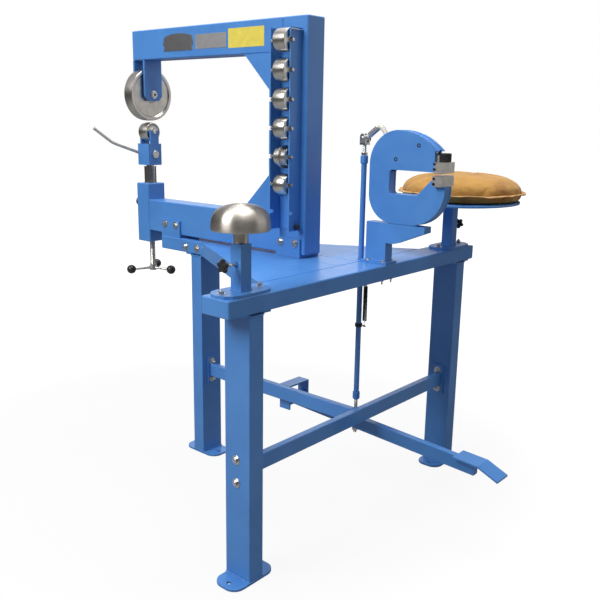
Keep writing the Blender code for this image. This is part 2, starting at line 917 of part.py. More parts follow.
def lower_yoke(drop, look):
    blue = look["blue"]
    half_x = yoke_block_half_x
    half_y = yoke_block_half_y
    bottom = quill_top + anvil_drop + clearance
    ear_top = anvil_axis_z + yoke_ear_rise
    ear = yoke_ear_half_x
    outline = [(-half_x, bottom), (half_x, bottom), (half_x, yoke_block_top), (ear, yoke_block_top),
               (ear, ear_top),
               (-ear, ear_top), (-ear, yoke_block_top), (-half_x, yoke_block_top)]
    body = prism("anvil_yoke", outline, "y", wheel_axis_y - half_y, wheel_axis_y + half_y, blue, drop)
    gap = yoke_ear_gap
    space = box("yoke_space", (-half_x - overrun, wheel_axis_y - gap, yoke_block_top),
                (half_x + overrun, wheel_axis_y + gap, ear_top + overrun),
                look["cutter"], drop, 0, "cutters")
    slot_radius = anvil_bore + running_clearance
    axis = anvil_axis_z
    slot_outline = arc((0, axis), slot_radius, math.pi, 2 * math.pi,
                       8) + [(slot_radius, ear_top + overrun), (-slot_radius, ear_top + overrun)]
    slot = prism("axle_slot", slot_outline, "y", wheel_axis_y - half_y - overrun,
                 wheel_axis_y + half_y + overrun, look["cutter"], drop, 0, "cutters")
    bore = rod("stub_bore", quill_stub_radius + clearance, "z", bottom - overrun,
               bottom + yoke_bore_depth,
               (0, wheel_axis_y), look["cutter"], drop, round_steps, "cutters")
    cam = rod("cam_bore", cam_radius + running_clearance, "y", wheel_axis_y - half_y - overrun,
              wheel_axis_y + half_y + overrun,
              (0, cam_z), look["cutter"], drop, small_steps, "cutters")
    cut(body, space, slot, bore, cam)
    reach = half_y + overrun / 2
    rod("anvil_axle", anvil_bore, "y", wheel_axis_y - reach, wheel_axis_y + reach, (0, axis),
        look["dark"], drop)


def release(drop, look):
    """Cam shaft of the anvil release with its cranked lever."""
    turn = pivot("release_turn", 0, wheel_axis_y, cam_z, drop)
    half = yoke_block_half_y + running_clearance
    disc = half + cam_disc_length
    boss = half + release_boss_length
    profile = ((0, boss), (release_boss_radius, boss), (release_boss_radius, half), (cam_radius, half),
               (cam_radius, -half),
               (cam_disc_radius, -half), (cam_disc_radius, -disc), (0, -disc))
    shaft = turned("release_lever", profile, "y", (0, wheel_axis_y, cam_z), look["zinc"], turn,
                   small_steps)
    y = wheel_axis_y + half + release_boss_length / 2
    points = [(-release_boss_radius / 2, y, cam_z),
              (-release_elbow_reach, y, cam_z + release_elbow_rise),
              (-release_reach, y, cam_z + release_rise)]
    join(shaft, wire("release_rod", points, release_rod_radius, look["zinc"], turn, "cutters"))


def feed_screw(rise, look):
    turn = pivot("screw_turn", 0, wheel_axis_y, hub_bottom, rise)
    top = quill_bottom - clearance - hub_bottom
    profile = ((0, top), (screw_radius, top), (screw_radius, hub_height), (hub_radius, hub_height),
               (hub_radius, 0), (0, 0))
    body = turned("feed_screw", profile, "z", (0, wheel_axis_y, hub_bottom), look["steel"], turn,
                  small_steps)
    z = hub_bottom + hub_height / 2
    for i in range(handle_arms):
        angle = handle_turn + 2 * math.pi * i / handle_arms
        far = handle_reach - ball_radius - clearance
        near = hub_radius / 2
        points = [(near * math.cos(angle), wheel_axis_y + near * math.sin(angle), z),
                  (far * math.cos(angle), wheel_axis_y + far * math.sin(angle), z)]
        join(body, wire("handle_arm_%d" % (i + 1), points, arm_radius, look["steel"], turn, "cutters"))
        place = (handle_reach * math.cos(angle), wheel_axis_y + handle_reach * math.sin(angle), z)
        ball("handle_ball_%d" % (i + 1), ball_radius, place, look["black"], turn)


def ball(name, radius, place, look, parent):
    mesh = bpy.data.meshes.new(name)
    shape = bmesh.new()
    bmesh.ops.create_uvsphere(shape, u_segments=ball_steps, v_segments=ball_rings, radius=radius)
    shape.to_mesh(mesh)
    shape.free()
    item = bpy.data.objects.new(name, mesh)
    item.location = place
    return finish(item, look, parent, smooth=True)


# Anvil rack
def rack(root, look):
    blue = look["blue"]
    face = -frame_width / 2 - clearance
    front = face - rack_proud
    y0 = rack_web_front_y
    y1 = y0 + rack_sheet
    y2 = y1 + rack_web_inner
    y3 = y2 + rack_sheet
    outline = [(front, y0), (face, y0), (face, y3), (front, y3), (front, y2),
               (face - rack_back_sheet, y2), (face - rack_back_sheet, y1), (front, y1)]
    channel = prism("anvil_rack", outline, "z", rack_bottom, rack_top, blue, root)
    axis_x = front + rack_axle_depth
    slot = rack_axle_radius + running_clearance
    for i in range(rack_slots):
        z = rack_first_z - rack_pitch * i
        mouth = [(front - overrun, z + slot), (front - overrun, z - slot)] + arc((axis_x, z), slot,
                                                                                 -math.pi / 2, math.pi / 2, 6)
        cut(channel, prism("rack_slot_%d" % (i + 1), mouth, "y", y0 - overrun, y3 + overrun,
                           look["cutter"], root, 0, "cutters"))
    middle = (y1 + y2) / 2 + rack_anvil_shift
    for i in range(rack_spares):
        z = rack_first_z - rack_pitch * i
        spin = pivot("spare_spin_%d" % (i + 1), axis_x, middle, z, root)
        crown = spare_crown_shares[i] * anvil_radius
        half = anvil_width / 2
        chamfer = wheel_chamfer / 2
        stub_high = y3 + rack_axle_proud - middle
        stub_low = y0 - rack_axle_proud - middle
        if i + 1 == rack_flanged:
            flange = rack_flange_width / 2
            tread = [(rack_barrel_radius, half), (rack_barrel_radius, flange), (anvil_radius, flange),
                     (anvil_radius, -flange), (rack_barrel_radius, -flange),
                     (rack_barrel_radius, -half)]
        else:
            shoulder = anvil_radius - crown - chamfer
            tread = [(shoulder, half)]
            for k in range(spare_tread_steps + 1):
                share = 1 - 2 * k / spare_tread_steps
                tread.append((anvil_radius - crown * share * share, (half - chamfer) * share))
            tread.append((shoulder, -half))
        profile = [(0, stub_high), (rack_axle_radius, stub_high), (rack_axle_radius, half)] + tread
        profile += [(rack_axle_radius, -half), (rack_axle_radius, stub_low), (0, stub_low)]
        turned("spare_anvil_%d" % (i + 1), profile, "y", (axis_x, middle, z), look["steel"], spin,
               spare_steps)
    knob_x = face - rack_knob_inset
    rod("rack_knob", rack_knob_radius, "y", y0 - clearance - rack_knob_length, y0 - clearance,
        (knob_x, rack_knob_z), look["black"], root)


# Shrinker head
def head_outline():
    """Side outline of the shrinker head in Y and Z, with its throat."""
    rear = head_rear_radius
    front = head_front_radius
    points = []
    points += arc((head_rear_y - rear, head_bottom + rear), rear, -math.pi / 2, 0, 7)
    points += arc((head_rear_y - rear, head_top - rear), rear, 0, math.pi / 2, 7)
    centre = (head_front_y + front, head_top - front)
    stop = math.pi - math.asin((nose_top - centre[1]) / front)
    points += arc(centre, front, math.pi / 2, stop, 7)
    points += [(nose_y, nose_top), (nose_y, throat_top)]
    corner = throat_corner_radius
    points += arc((throat_back_y - corner, throat_top - corner), corner, math.pi / 2, 0, 3)
    points += arc((throat_back_y - corner, throat_bottom + corner), corner, 0, -math.pi / 2, 3)
    points += [(lip_y, throat_bottom), (land_y, land_z), (seat_back_y, seat_z), (head_front_y, seat_z)]
    points += arc((head_front_y + front, head_bottom + front), front, math.pi, 3 * math.pi / 2, 7)
    return points


def shrinker(root, look):
    blue = look["blue"]
    half = head_width / 2
    plate = head_plate
    x0 = link_x - half
    x1 = x0 + plate
    x3 = link_x + half
    x2 = x3 - plate
    outline = head_outline()
    hole_a = rod("pivot_rear_hole", pin_radius + running_clearance, "x", x0 - overrun, x3 + overrun,
                 (pivot_rear_y, pivot_rear_z), look["cutter"], root, small_steps, "cutters")
    hole_b = rod("pivot_front_hole", pin_radius + running_clearance, "x", x0 - overrun, x3 + overrun,
                 (pivot_front_y, pivot_front_z), look["cutter"], root, small_steps, "cutters")
    near = prism("shrinker_plate_near", outline, "x", x0, x1, blue, root)
    far = prism("shrinker_plate_far", outline, "x", x2, x3, blue, root)
    cut(near, hole_a, hole_b)
    cut(far, hole_a, hole_b)
    core = prism("shrinker_core", outline, "x", x1 + clearance, x2 - clearance, blue, root)
    above = box("core_space", (x0, head_front_y - overrun, core_top),
                (x3, head_rear_y + overrun, head_top + overrun), look["cutter"], root, 0, "cutters")
    cut(core, above)
    cover_strip(x1 + clearance, x2 - clearance, root, look)
    jaws(root, look)
    lever(root, look)
    middle = bar_depth / 2
    post_low = table_top + clearance
    deep = post_depth / 2
    wide = post_width / 2
    post = box("shrinker_post", (link_x - wide, middle - deep, post_low),
               (link_x + wide, middle + deep, cantilever_bottom + overrun), blue, root)
    margin = post_foot_margin
    foot = box("shrinker_foot", (link_x - wide - margin, middle - deep - margin, post_low),
               (link_x + wide + margin, middle + deep + margin, post_low + post_foot_sheet), blue, root,
               0, "cutters")
    rear = middle + deep
    outline = [(rear, cantilever_bottom), (cantilever_taper_y, cantilever_bottom),
               (cantilever_tip_y, cantilever_tip_bottom), (cantilever_tip_y, cantilever_top),
               (rear, cantilever_top)]
    arm = prism("shrinker_arm", outline, "x", link_x - wide, link_x + wide, blue, root, 0, "cutters")
    join(post, foot, arm)


def cover_strip(low, high, root, look):
    """Strip that closes the gap between the plates over the front arc."""
    front = head_front_radius
    centre = (head_front_y + front, head_top - front)
    start = math.pi - math.asin((nose_top + cover_sheet - centre[1]) / front)
    inner = front - cover_sheet
    points = arc(centre, front, math.pi / 2, start,
                 8) + list(reversed(arc(centre, inner, math.pi / 2, start, 8)))
    prism("shrinker_cover", points, "x", low, high, look["blue"], root)


def jaws(root, look):
    steel = look["steel"]
    wide = jaw_width / 2
    back = jaw_front_y + jaw_depth
    slide = pivot("jaw_slide", link_x, jaw_front_y, upper_jaw_bottom, root)
    upper = box("upper_jaw", (link_x - wide, jaw_front_y, upper_jaw_bottom),
                (link_x + wide, back, upper_jaw_top), steel, slide)
    reach = head_width / 2 - head_plate - running_clearance
    end = back + ram_length
    step = nose_y + running_clearance
    shelf = upper_jaw_top - overrun
    outline = [(back - overrun, ram_bottom), (end, ram_bottom), (end, ram_top), (step, ram_top),
               (step, shelf), (back - overrun, shelf)]
    ram = prism("jaw_ram", outline, "x", link_x - reach, link_x + reach, steel, slide, 0, "cutters")
    join(upper, ram)
    edge = knob_edge
    radius = knob_radius
    knob_y = jaw_front_y + radius / 2
    turn = pivot("knob_turn", link_x, knob_y, upper_jaw_top, slide)
    profile = ((0, knob_height), (radius - edge, knob_height), (radius, knob_height - edge),
               (radius, edge), (radius - edge, 0), (0, 0))
    turned("stroke_knob", profile, "z", (link_x, knob_y, upper_jaw_top + clearance), look["black"],
           turn, small_steps)
    box("lower_jaw", (link_x - wide, jaw_front_y, seat_z + clearance),
        (link_x + wide, seat_back_y - clearance * 2, lower_jaw_top), steel, root)


def lever(root, look):
    """Bent lever from the pull rod, and the rocker that drives the jaw."""
    swing = pivot("lever_swing", link_x, pivot_rear_y, pivot_rear_z, root)
    half = lever_thickness / 2
    nose_y = pivot_rear_y - lever_nose_reach
    nose_z = pivot_rear_z + lever_nose_rise
    boss = lever_boss_radius
    outline = arc((pivot_rear_y, pivot_rear_z), boss, -math.pi / 2 - lever_boss_sweep, math.pi / 2, 10)
    outline += arc((nose_y, nose_z), lever_nose_half, math.pi / 2, 3 * math.pi / 2, 5)
    plate = prism("shrink_lever", outline, "x", link_x - half, link_x + half, look["zinc"], swing)
    reach = head_width / 2 - clearance
    pin = rod("lever_pin", pin_radius, "x", link_x - reach, link_x + reach,
              (pivot_rear_y, pivot_rear_z), look["zinc"], swing, small_steps, "cutters")
    eye_y = rod_y - eye_pin_shift
    path = [(link_x, pivot_rear_y, pivot_rear_z), (link_x, lever_entry_y, lever_entry_z),
            (link_x, lever_bend_y, lever_bend_z), (link_x, eye_y, rod_eye_z)]
    bent = wire("lever_bar", path[:3], lever_rod_radius, look["zinc"], swing, "cutters", 1)
    start = Vector(path[2])
    end = Vector(path[3])
    along = end - start
    length = along.length
    sleeve = lever_sleeve_radius
    slim = lever_rod_radius
    low = length * lever_sleeve_start_share
    high = length * lever_sleeve_end_share
    profile = ((0, length), (slim, length), (slim, high), (sleeve, high), (sleeve, low), (slim, low),
               (slim, -slim / 2), (0, -slim / 2))
    grip = turned("lever_grip", profile, "z", start, look["zinc"], swing, small_steps, "cutters",
                  math.pi / small_steps)
    grip.rotation_euler = along.to_track_quat("Z", "X").to_euler()
    eye = rod("lever_eye", lever_eye_radius, "x", link_x - half, link_x + half, (eye_y, rod_eye_z),
              look["zinc"], swing, small_steps, "cutters")
    wide = fork_half_width - clearance
    eye_pin = rod("eye_pin", eye_pin_radius, "x", link_x - wide, link_x + wide, (eye_y, rod_eye_z),
                  look["zinc"], swing, small_steps, "cutters")
    join(plate, pin, bent, grip, eye, eye_pin)

    rock = pivot("rocker_swing", link_x, pivot_front_y, pivot_front_z, root)
    boss = rocker_boss_radius
    tip = rocker_tip_half
    front = (pivot_front_y - rocker_front_reach, ram_top + tip + clearance * 2)
    rear_z = nose_z + lever_nose_half + tip + clearance * 2
    rear = (pivot_front_y + rocker_rear_reach, rear_z)
    waist_start = math.pi / 2 - math.pi * rocker_waist_share
    waist_end = math.pi / 2 + math.pi * rocker_waist_share
    outline = arc(front, tip, math.pi, 3 * math.pi / 2, 3)
    outline += arc((pivot_front_y, pivot_front_z), boss, -waist_end, -waist_start, 3)
    outline += arc(rear, tip, -math.pi / 2, math.pi / 2, 5)
    outline += arc((pivot_front_y, pivot_front_z), boss, waist_start, waist_end, 3)
    outline += arc(front, tip, math.pi / 2, math.pi, 3)[:-1]
    rocker = prism("rocker", outline, "x", link_x - half, link_x + half, look["zinc"], rock)
    join(rocker, rod("rocker_pin", pin_radius, "x", link_x - reach, link_x + reach,
                     (pivot_front_y, pivot_front_z), look["zinc"], rock, small_steps, "cutters"))


# Pull rod, pedal and spring
def pedal_centre_z(y):
    return pedal_pivot_z - (pedal_pivot_y - y) * math.tan(pedal_slope)


def pull_rod(root, look):
    blue = look["blue"]
    drop = pivot("rod_drop", link_x, rod_y, rod_bottom, root)
    lean = math.cos(pedal_slope)
    lever_bottom = pedal_centre_z(rod_y) - pedal_height / 2 / lean
    lever_top = pedal_centre_z(rod_y) + pedal_height / 2 / lean
    nut_top = lever_bottom - rod_nut_gap
    tail = nut_top - rod_nut_height - rod_tail
    thread = rod_thread_radius
    collar = rod_collar_radius
    high_nut = lever_top + rod_nut_gap
    base = tail
    profile = [
        (0, fork_bottom + overrun), (thread, fork_bottom + overrun),
        (thread, rod_top + rod_collar_length), (collar, rod_top + rod_collar_length),
        (collar, rod_top), (rod_radius, rod_top), (rod_radius, rod_bottom), (collar, rod_bottom),
        (collar, rod_bottom - rod_collar_length),
        (thread, rod_bottom - rod_collar_length), (thread, high_nut + rod_nut_height),
        (rod_nut_radius, high_nut + rod_nut_height),
        (rod_nut_radius, high_nut), (thread, high_nut), (thread, nut_top), (rod_nut_radius, nut_top),
        (rod_nut_radius, nut_top - rod_nut_height),
        (thread, nut_top - rod_nut_height), (thread, tail), (0, tail),
    ]
    body = turned("pull_rod", [(radius, height - base) for radius, height in profile], "z",
                  (link_x, rod_y, base), blue, drop, small_steps)
    wide = fork_half_width
    deep = fork_half_depth
    fork = box("fork", (link_x - wide, rod_y - deep, fork_bottom),
               (link_x + wide, rod_y + deep, fork_top), look["zinc"], drop, 0, "cutters")
    tab_z = spring_low_pin_z
    tab_wide = spring_tab_width / 2
    collar_low = tab_z - tab_wide
    clamp = rod("spring_clamp", rod_collar_radius, "z", collar_low, tab_z + tab_wide, (link_x, rod_y),
                blue, drop, small_steps, "cutters")
    pin = rod("spring_low_pin", spring_pin_radius, "y", spring_y - spring_pin_length / 2, rod_y,
              (link_x, tab_z), blue, drop, small_steps, "cutters")
    join(body, fork, clamp, pin)
    slot = box("fork_slot", (link_x - fork_slot / 2, rod_y - deep - overrun, fork_bottom + fork_floor),
               (link_x + fork_slot / 2, rod_y + deep + overrun, fork_top + overrun), look["cutter"],
               drop, 0, "cutters")
    radius = eye_pin_radius + running_clearance
    ring = stadium(2 * (radius + eye_travel), 2 * radius, False, (rod_y, rod_eye_z))
    eye = prism("fork_eye", ring, "x",
                link_x - wide - overrun, link_x + wide + overrun, look["cutter"], drop, 0, "cutters")
    cut(body, slot, eye)


def pedal(root, look):
    blue = look["blue"]
    swing = pivot("pedal_swing", link_x, pedal_pivot_y, pedal_pivot_z, root)
    swing.rotation_euler = (pedal_slope, 0, 0)
    half = pedal_height / 2
    wide = pedal_width / 2
    x, y, z = place_of(swing)
    body = box("pedal_lever", (x - wide, y - pedal_front, z - half),
               (x + wide, y + pedal_tail, z + half), blue, swing)
    wall = pedal_wall
    hollow = box("pedal_hollow", (x - wide + wall, y - pedal_front + wall, z - half + wall),
                 (x + wide - wall, y + pedal_tail + overrun, z + half - wall),
                 look["cutter"], swing, 0, "cutters")
    bore = rod("pedal_bore", pin_radius + running_clearance, "x", x - wide - overrun,
               x + wide + overrun, (y, z), look["cutter"], swing, small_steps, "cutters")
    drop = pedal_pivot_y - rod_y
    hole = rod("pedal_rod_hole", pedal_rod_hole, "z", z - half - overrun, z + half + overrun,
               (x, y - drop), look["cutter"], swing, small_steps, "cutters")
    top = z + half - plate_sink
    sheet = plate_sheet
    outline = [(y - plate_back, top), (y - plate_back, top + sheet), (y - plate_bend, top + sheet),
               (y - plate_tip, top + sheet - plate_tip_drop),
               (y - plate_tip, top - plate_tip_drop), (y - plate_bend, top)]
    tread = prism("pedal_tread", outline, "x", x - plate_width / 2, x + plate_width / 2, blue, swing, 0,
                  "cutters")
    cut(body, hollow, bore, hole)
    join(body, tread)

    inner = brace_width / 2 + clearance
    sheet = pivot_arm_sheet
    high = pivot_arm_top
    low = pivot_arm_bottom
    outer = pivot_arm_reach
    outline = [(inner, low), (inner + sheet, low), (inner + sheet, high - sheet), (outer, high - sheet),
               (outer, low), (outer + sheet, low),
               (outer + sheet, high), (inner, high)]
    arm = prism("pedal_bracket", outline, "y", pedal_pivot_y - pivot_arm_half,
                pedal_pivot_y + pivot_arm_half, blue, root)
    pin = rod("pedal_pin", pin_radius, "x", inner + sheet / 2, outer + sheet / 2,
              (pedal_pivot_y, pedal_pivot_z), blue, root, small_steps, "cutters")
    sleeve = rod("pedal_sleeve", pivot_sleeve_radius, "x", inner + sheet / 2, link_x - wide - clearance,
                 (pedal_pivot_y, pedal_pivot_z), blue, root, small_steps, "cutters")
    join(arm, pin, sleeve)


def spring_points():
    """One wire: top hook, close even curls and bottom hook, around the axis."""
    radius = spring_coil_radius
    hook = spring_pin_radius + spring_wire_radius + clearance
    points = []
    top_pin = top_pin_z()
    steps = spring_hook_steps
    for i in range(steps + 1):
        angle = spring_hook_start + spring_hook_sweep * i / steps
        points.append((hook * math.cos(angle), 0, top_pin + hook * math.sin(angle)))
    (hook_share, hook_rise), (curl_share, curl_rise) = spring_neck_shares
    neck = spring_hook_length
    points.append((hook * hook_share, 0, spring_coil_top + neck * hook_rise))
    points.append((radius * curl_share, 0, spring_coil_top + neck * curl_rise))
    total = spring_curls * spring_points_per_curl
    for i in range(total + 1):
        angle = 2 * math.pi * i / spring_points_per_curl
        z = spring_coil_top + (spring_coil_bottom - spring_coil_top) * i / total
        points.append((radius * math.cos(angle), radius * math.sin(angle), z))
    points.append((radius * curl_share, 0, spring_coil_bottom - neck * curl_rise))
    points.append((hook * hook_share, 0, spring_coil_bottom - neck * hook_rise))
    low_pin = spring_low_pin_z
    for i in range(steps + 1):
        angle = spring_hook_start + math.pi + spring_hook_sweep * i / steps
        points.append((hook * math.cos(angle), 0, low_pin + hook * math.sin(angle)))
    return points


def least_gap(points, radius, skip):
    """Smallest distance between two runs of one wire, less its thickness."""
    best = None
    for i in range(len(points)):
        for j in range(i + skip, min(len(points), i + 3 * skip)):
            gap = math.dist(points[i], points[j]) - 2 * radius
            if best is None or gap < best:
                best = gap
    return best


def spring(root, look):
    points = spring_points()
    placed = [(link_x + a, spring_y + b, c) for a, b, c in points]
    wire("return_spring", placed, spring_wire_radius, look["dark"], root, resolution=1, keep_curve=True)
    print("return_spring least gap to itself: %.6f m" % least_gap(points, spring_wire_radius,
                                                                  spring_points_per_curl - 2))


# Dolly and sand bag stations
def station(tag, x, side, socket_top, root, look):
    """Square socket on a round ended plate, with its clamping hand knob."""
    blue = look["blue"]
    floor = table_top + clearance
    half = socket_width / 2
    body = box(tag + "_socket", (x - half, station_y - half, floor),
               (x + half, station_y + half, socket_top), blue, root)
    plate = prism(tag + "_plate",
                  stadium(station_plate_length, station_plate_width, False, (x, station_y)), "z", floor,
                  floor + station_plate_sheet,
                  blue, root, 0, "cutters")
    join(body, plate)
    inner = half - socket_wall
    hollow = box(tag + "_hollow", (x - inner, station_y - inner, floor + station_plate_sheet),
                 (x + inner, station_y + inner, socket_top + overrun),
                 look["cutter"], root, 0, "cutters")
    low = min(x, x + side * (half + overrun))
    high = max(x, x + side * (half + overrun))
    bore = rod(tag + "_stud_bore", station_stud_radius + running_clearance, "x", low, high,
               (station_y, station_knob_z), look["cutter"], root, small_steps, "cutters")
    cut(body, hollow, bore)
    turn = pivot(tag + "_knob_turn", x + side * half, station_y, station_knob_z, root)
    start = stem_radius + clearance
    end = half + station_stud_length
    ends = sorted((x + side * start, x + side * end))
    outline = [(station_y + a, station_knob_z + b) for a,
               b in star(station_knob_radius, station_knob_valley, station_knob_lobes)]
    faces = sorted((x + side * (end - overrun), x + side * (end - overrun + station_knob_length)))
    knob = prism(tag + "_knob", outline, "x", faces[0], faces[1], look["black"], turn)
    stud = rod(tag + "_stud", station_stud_radius, "x", ends[0], ends[1], (station_y, station_knob_z),
               look["black"], turn, small_steps, "cutters")
    join(knob, stud)


def dolly(root, look):
    station("dolly", -station_x, -1, dolly_socket_top, root, look)
    rise = pivot("dolly_rise", -station_x, station_y, dolly_socket_top, root)
    base = dolly_socket_top + clearance
    steps = 7
    height = dolly_top - dolly_rim_top
    profile = []
    for i in range(steps + 1):
        angle = math.pi / 2 * i / steps
        profile.append((dolly_radius * math.sin(angle), dolly_rim_top + height * math.cos(angle)))
    profile[0] = (0, dolly_top)
    neck = dolly_neck_radius
    profile += [(dolly_radius, dolly_rim_bottom), (neck, dolly_underside), (neck, base),
                (stem_radius, base),
                (stem_radius, base - stem_length), (0, base - stem_length)]
    turned("mushroom_dolly", [(radius, z - base) for radius, z in profile], "z",
           (-station_x, station_y, base), look["steel"], rise, dolly_steps)


def sand_bag(root, look):
    station("bag", station_x, 1, bag_socket_top, root, look)
    rise = pivot("tray_rise", station_x, station_y, bag_socket_top, root)
    base = bag_socket_top + clearance
    top = tray_top
    rim = tray_sheet
    collar = tray_collar_radius
    profile = [(0, top), (tray_radius - rim, top), (tray_radius, top - rim / 2),
               (tray_radius, top - tray_rim), (tray_radius - rim, top - tray_rim),
               (tray_radius - rim, top - tray_sheet), (collar, top - tray_sheet), (collar, base),
               (stem_radius, base), (stem_radius, base - stem_length),
               (0, base - stem_length)]
    turned("bag_tray", [(radius, z - base) for radius, z in profile], "z", (station_x, station_y, base),
           look["blue"], rise, tray_steps)
    mesh = bpy.data.meshes.new("sand_bag")
    shape = bmesh.new()
    rings = len(bag_ring_shares)
    bmesh.ops.create_uvsphere(shape, u_segments=bag_segments, v_segments=rings + 1, radius=1)
    for vert in shape.verts:
        level = round(math.acos(max(-1, min(1, vert.co.z))) / math.pi * (rings + 1))
        if level == 0:
            vert.co = (0, 0, bag_height)
            continue
        if level > rings:
            vert.co = (0, 0, 0)
            continue
        share, height = bag_ring_shares[level - 1]
        angle = math.atan2(vert.co.y, vert.co.x)
        wave = bag_wave * math.sin(bag_waves * angle) * (1 if level in bag_wave_levels else 0)
        draw = bag_wave * math.cos(bag_waves * angle) * (1 if level in bag_draw_levels else 0)
        reach = bag_radius * share + draw
        vert.co = (reach * math.cos(angle), reach * math.sin(angle), bag_height * height + wave)
    shape.to_mesh(mesh)
    shape.free()
    item = bpy.data.objects.new("sand_bag", mesh)
    item.location = (station_x + bag_shift_x, station_y + bag_shift_y, tray_top + clearance)
    soft = item.modifiers.new("Soft form", "SUBSURF")
    soft.levels = 1
    soft.render_levels = 1
    finish(item, look["leather"], rise, smooth=True)


def main():
    clear_scene()
    look = looks()
    root = bpy.data.objects.new("station_root", None)
    collection("english_wheel").objects.link(root)
    root["place"] = (0, 0, 0)
    root.location = (0, -rear_leg_y, 0)
    stand(root, look)
    c_frame(root, look)
    upper_wheel(root, look)
    housing(root, look)
    quill(root, look)
    rack(root, look)
    shrinker(root, look)
    pull_rod(root, look)
    pedal(root, look)
    spring(root, look)
    dolly(root, look)
    sand_bag(root, look)


main()
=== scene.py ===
"""Dresses the metal wheeling station: paint, ground steel, fasteners, the
leather sand bag and the photo studio round it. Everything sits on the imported
frame, so each piece takes its place from the box of the node it belongs to."""

import json
import math

import bmesh
import bpy
from bpy.props import FloatProperty, FloatVectorProperty, PointerProperty
from mathutils import Matrix, Vector


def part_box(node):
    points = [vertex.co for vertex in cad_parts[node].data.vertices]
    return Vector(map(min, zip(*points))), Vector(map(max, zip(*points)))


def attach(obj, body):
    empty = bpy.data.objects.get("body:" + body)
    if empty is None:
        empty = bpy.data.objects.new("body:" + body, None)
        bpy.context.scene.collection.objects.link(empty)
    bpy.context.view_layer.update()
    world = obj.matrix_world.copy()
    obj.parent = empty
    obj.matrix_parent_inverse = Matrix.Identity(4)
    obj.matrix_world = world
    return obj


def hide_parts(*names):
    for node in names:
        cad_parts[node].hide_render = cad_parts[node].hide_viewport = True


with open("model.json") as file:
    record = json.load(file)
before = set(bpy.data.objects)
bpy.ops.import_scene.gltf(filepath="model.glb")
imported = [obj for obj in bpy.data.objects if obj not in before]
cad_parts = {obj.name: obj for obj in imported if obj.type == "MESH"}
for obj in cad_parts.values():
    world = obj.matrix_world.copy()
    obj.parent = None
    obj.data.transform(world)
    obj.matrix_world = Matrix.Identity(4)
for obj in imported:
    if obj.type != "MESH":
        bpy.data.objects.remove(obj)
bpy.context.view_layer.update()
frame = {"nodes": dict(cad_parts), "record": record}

bl_info = {
    "name": "Wheeling station dresser",
    "version": (1, 0, 0),
    "blender": (4, 5, 0),
    "location": "3D View > Sidebar > Station",
    "description": "Paint, fasteners, turned steel and a leather sand bag for a metal wheeling station",
    "category": "Object",
}

SAME = Matrix.Identity(4)
QUARTER = math.pi / 2
TURN = 2 * math.pi
AXIS_TURN = {
    "x": Matrix.Rotation(QUARTER, 4, "Y"),
    "y": Matrix.Rotation(-QUARTER, 4, "X"),
    "z": SAME,
    "-x": Matrix.Rotation(-QUARTER, 4, "Y"),
    "-y": Matrix.Rotation(QUARTER, 4, "X"),
    "-z": Matrix.Rotation(math.pi, 4, "X"),
}
# Puts an outline drawn in Y and Z upright, with its thickness along X
SIDE_ON = Matrix(((0, 0, 1), (1, 0, 0), (0, 1, 0))).to_4x4()

# Places that several steps share, in metres of the frame
DECK = 0.8903
BAR_UNDERSIDE = 0.8310
WELD_LEVEL = 0.8915
LEG_NARROW = 0.028
LEG_WIDE = 0.0495
KNOB_LEVEL = 0.965
POST_X = 0.095
LEVER_PIVOT = (-0.826, 1.228)
ROCKER_PIVOT = (-0.910, 1.274)
FORK_PIN = (-0.6897, 1.288)
ROD_Y = -0.687
CLAMP_LEVEL = 0.649
BAG_SIDE = 0.945
BAG_LIMIT = 0.985
HEAD_BROW = 0.210
HEAD_REAR = 0.110
THROAT_BACK = -0.804

# Material for each slot of the carried over nodes, and for the two jaws
CARRIED = {
    "blue": "blue_enamel",
    "steel": "quill_steel",
    "dark": "oiled_steel",
    "black": "knob_black",
    "zinc": "plated_steel",
    "leather": "suede_leather",
    "upper_jaw": "ground_block_steel",
    "lower_jaw": "ground_block_steel",
}
# Slot that each material belongs to, unless a piece says another
SLOTS = {
    "blue_enamel": "blue",
    "ground_steel": "steel",
    "dolly_steel": "steel",
    "oiled_steel": "dark",
    "spring_black": "dark",
    "plated_steel": "zinc",
    "lever_steel": "zinc",
    "knob_black": "black",
    "suede_leather": "leather",
    "leather_cut_edge": "leather",
    "waxed_thread": "leather",
}


def colour_property(name, description, default):
    return FloatVectorProperty(
        name=name, description=description, subtype="COLOR", size=3, min=0, max=1, default=default)


def length_property(name, description, default):
    return FloatProperty(name=name, description=description, unit="LENGTH", min=0, default=default)


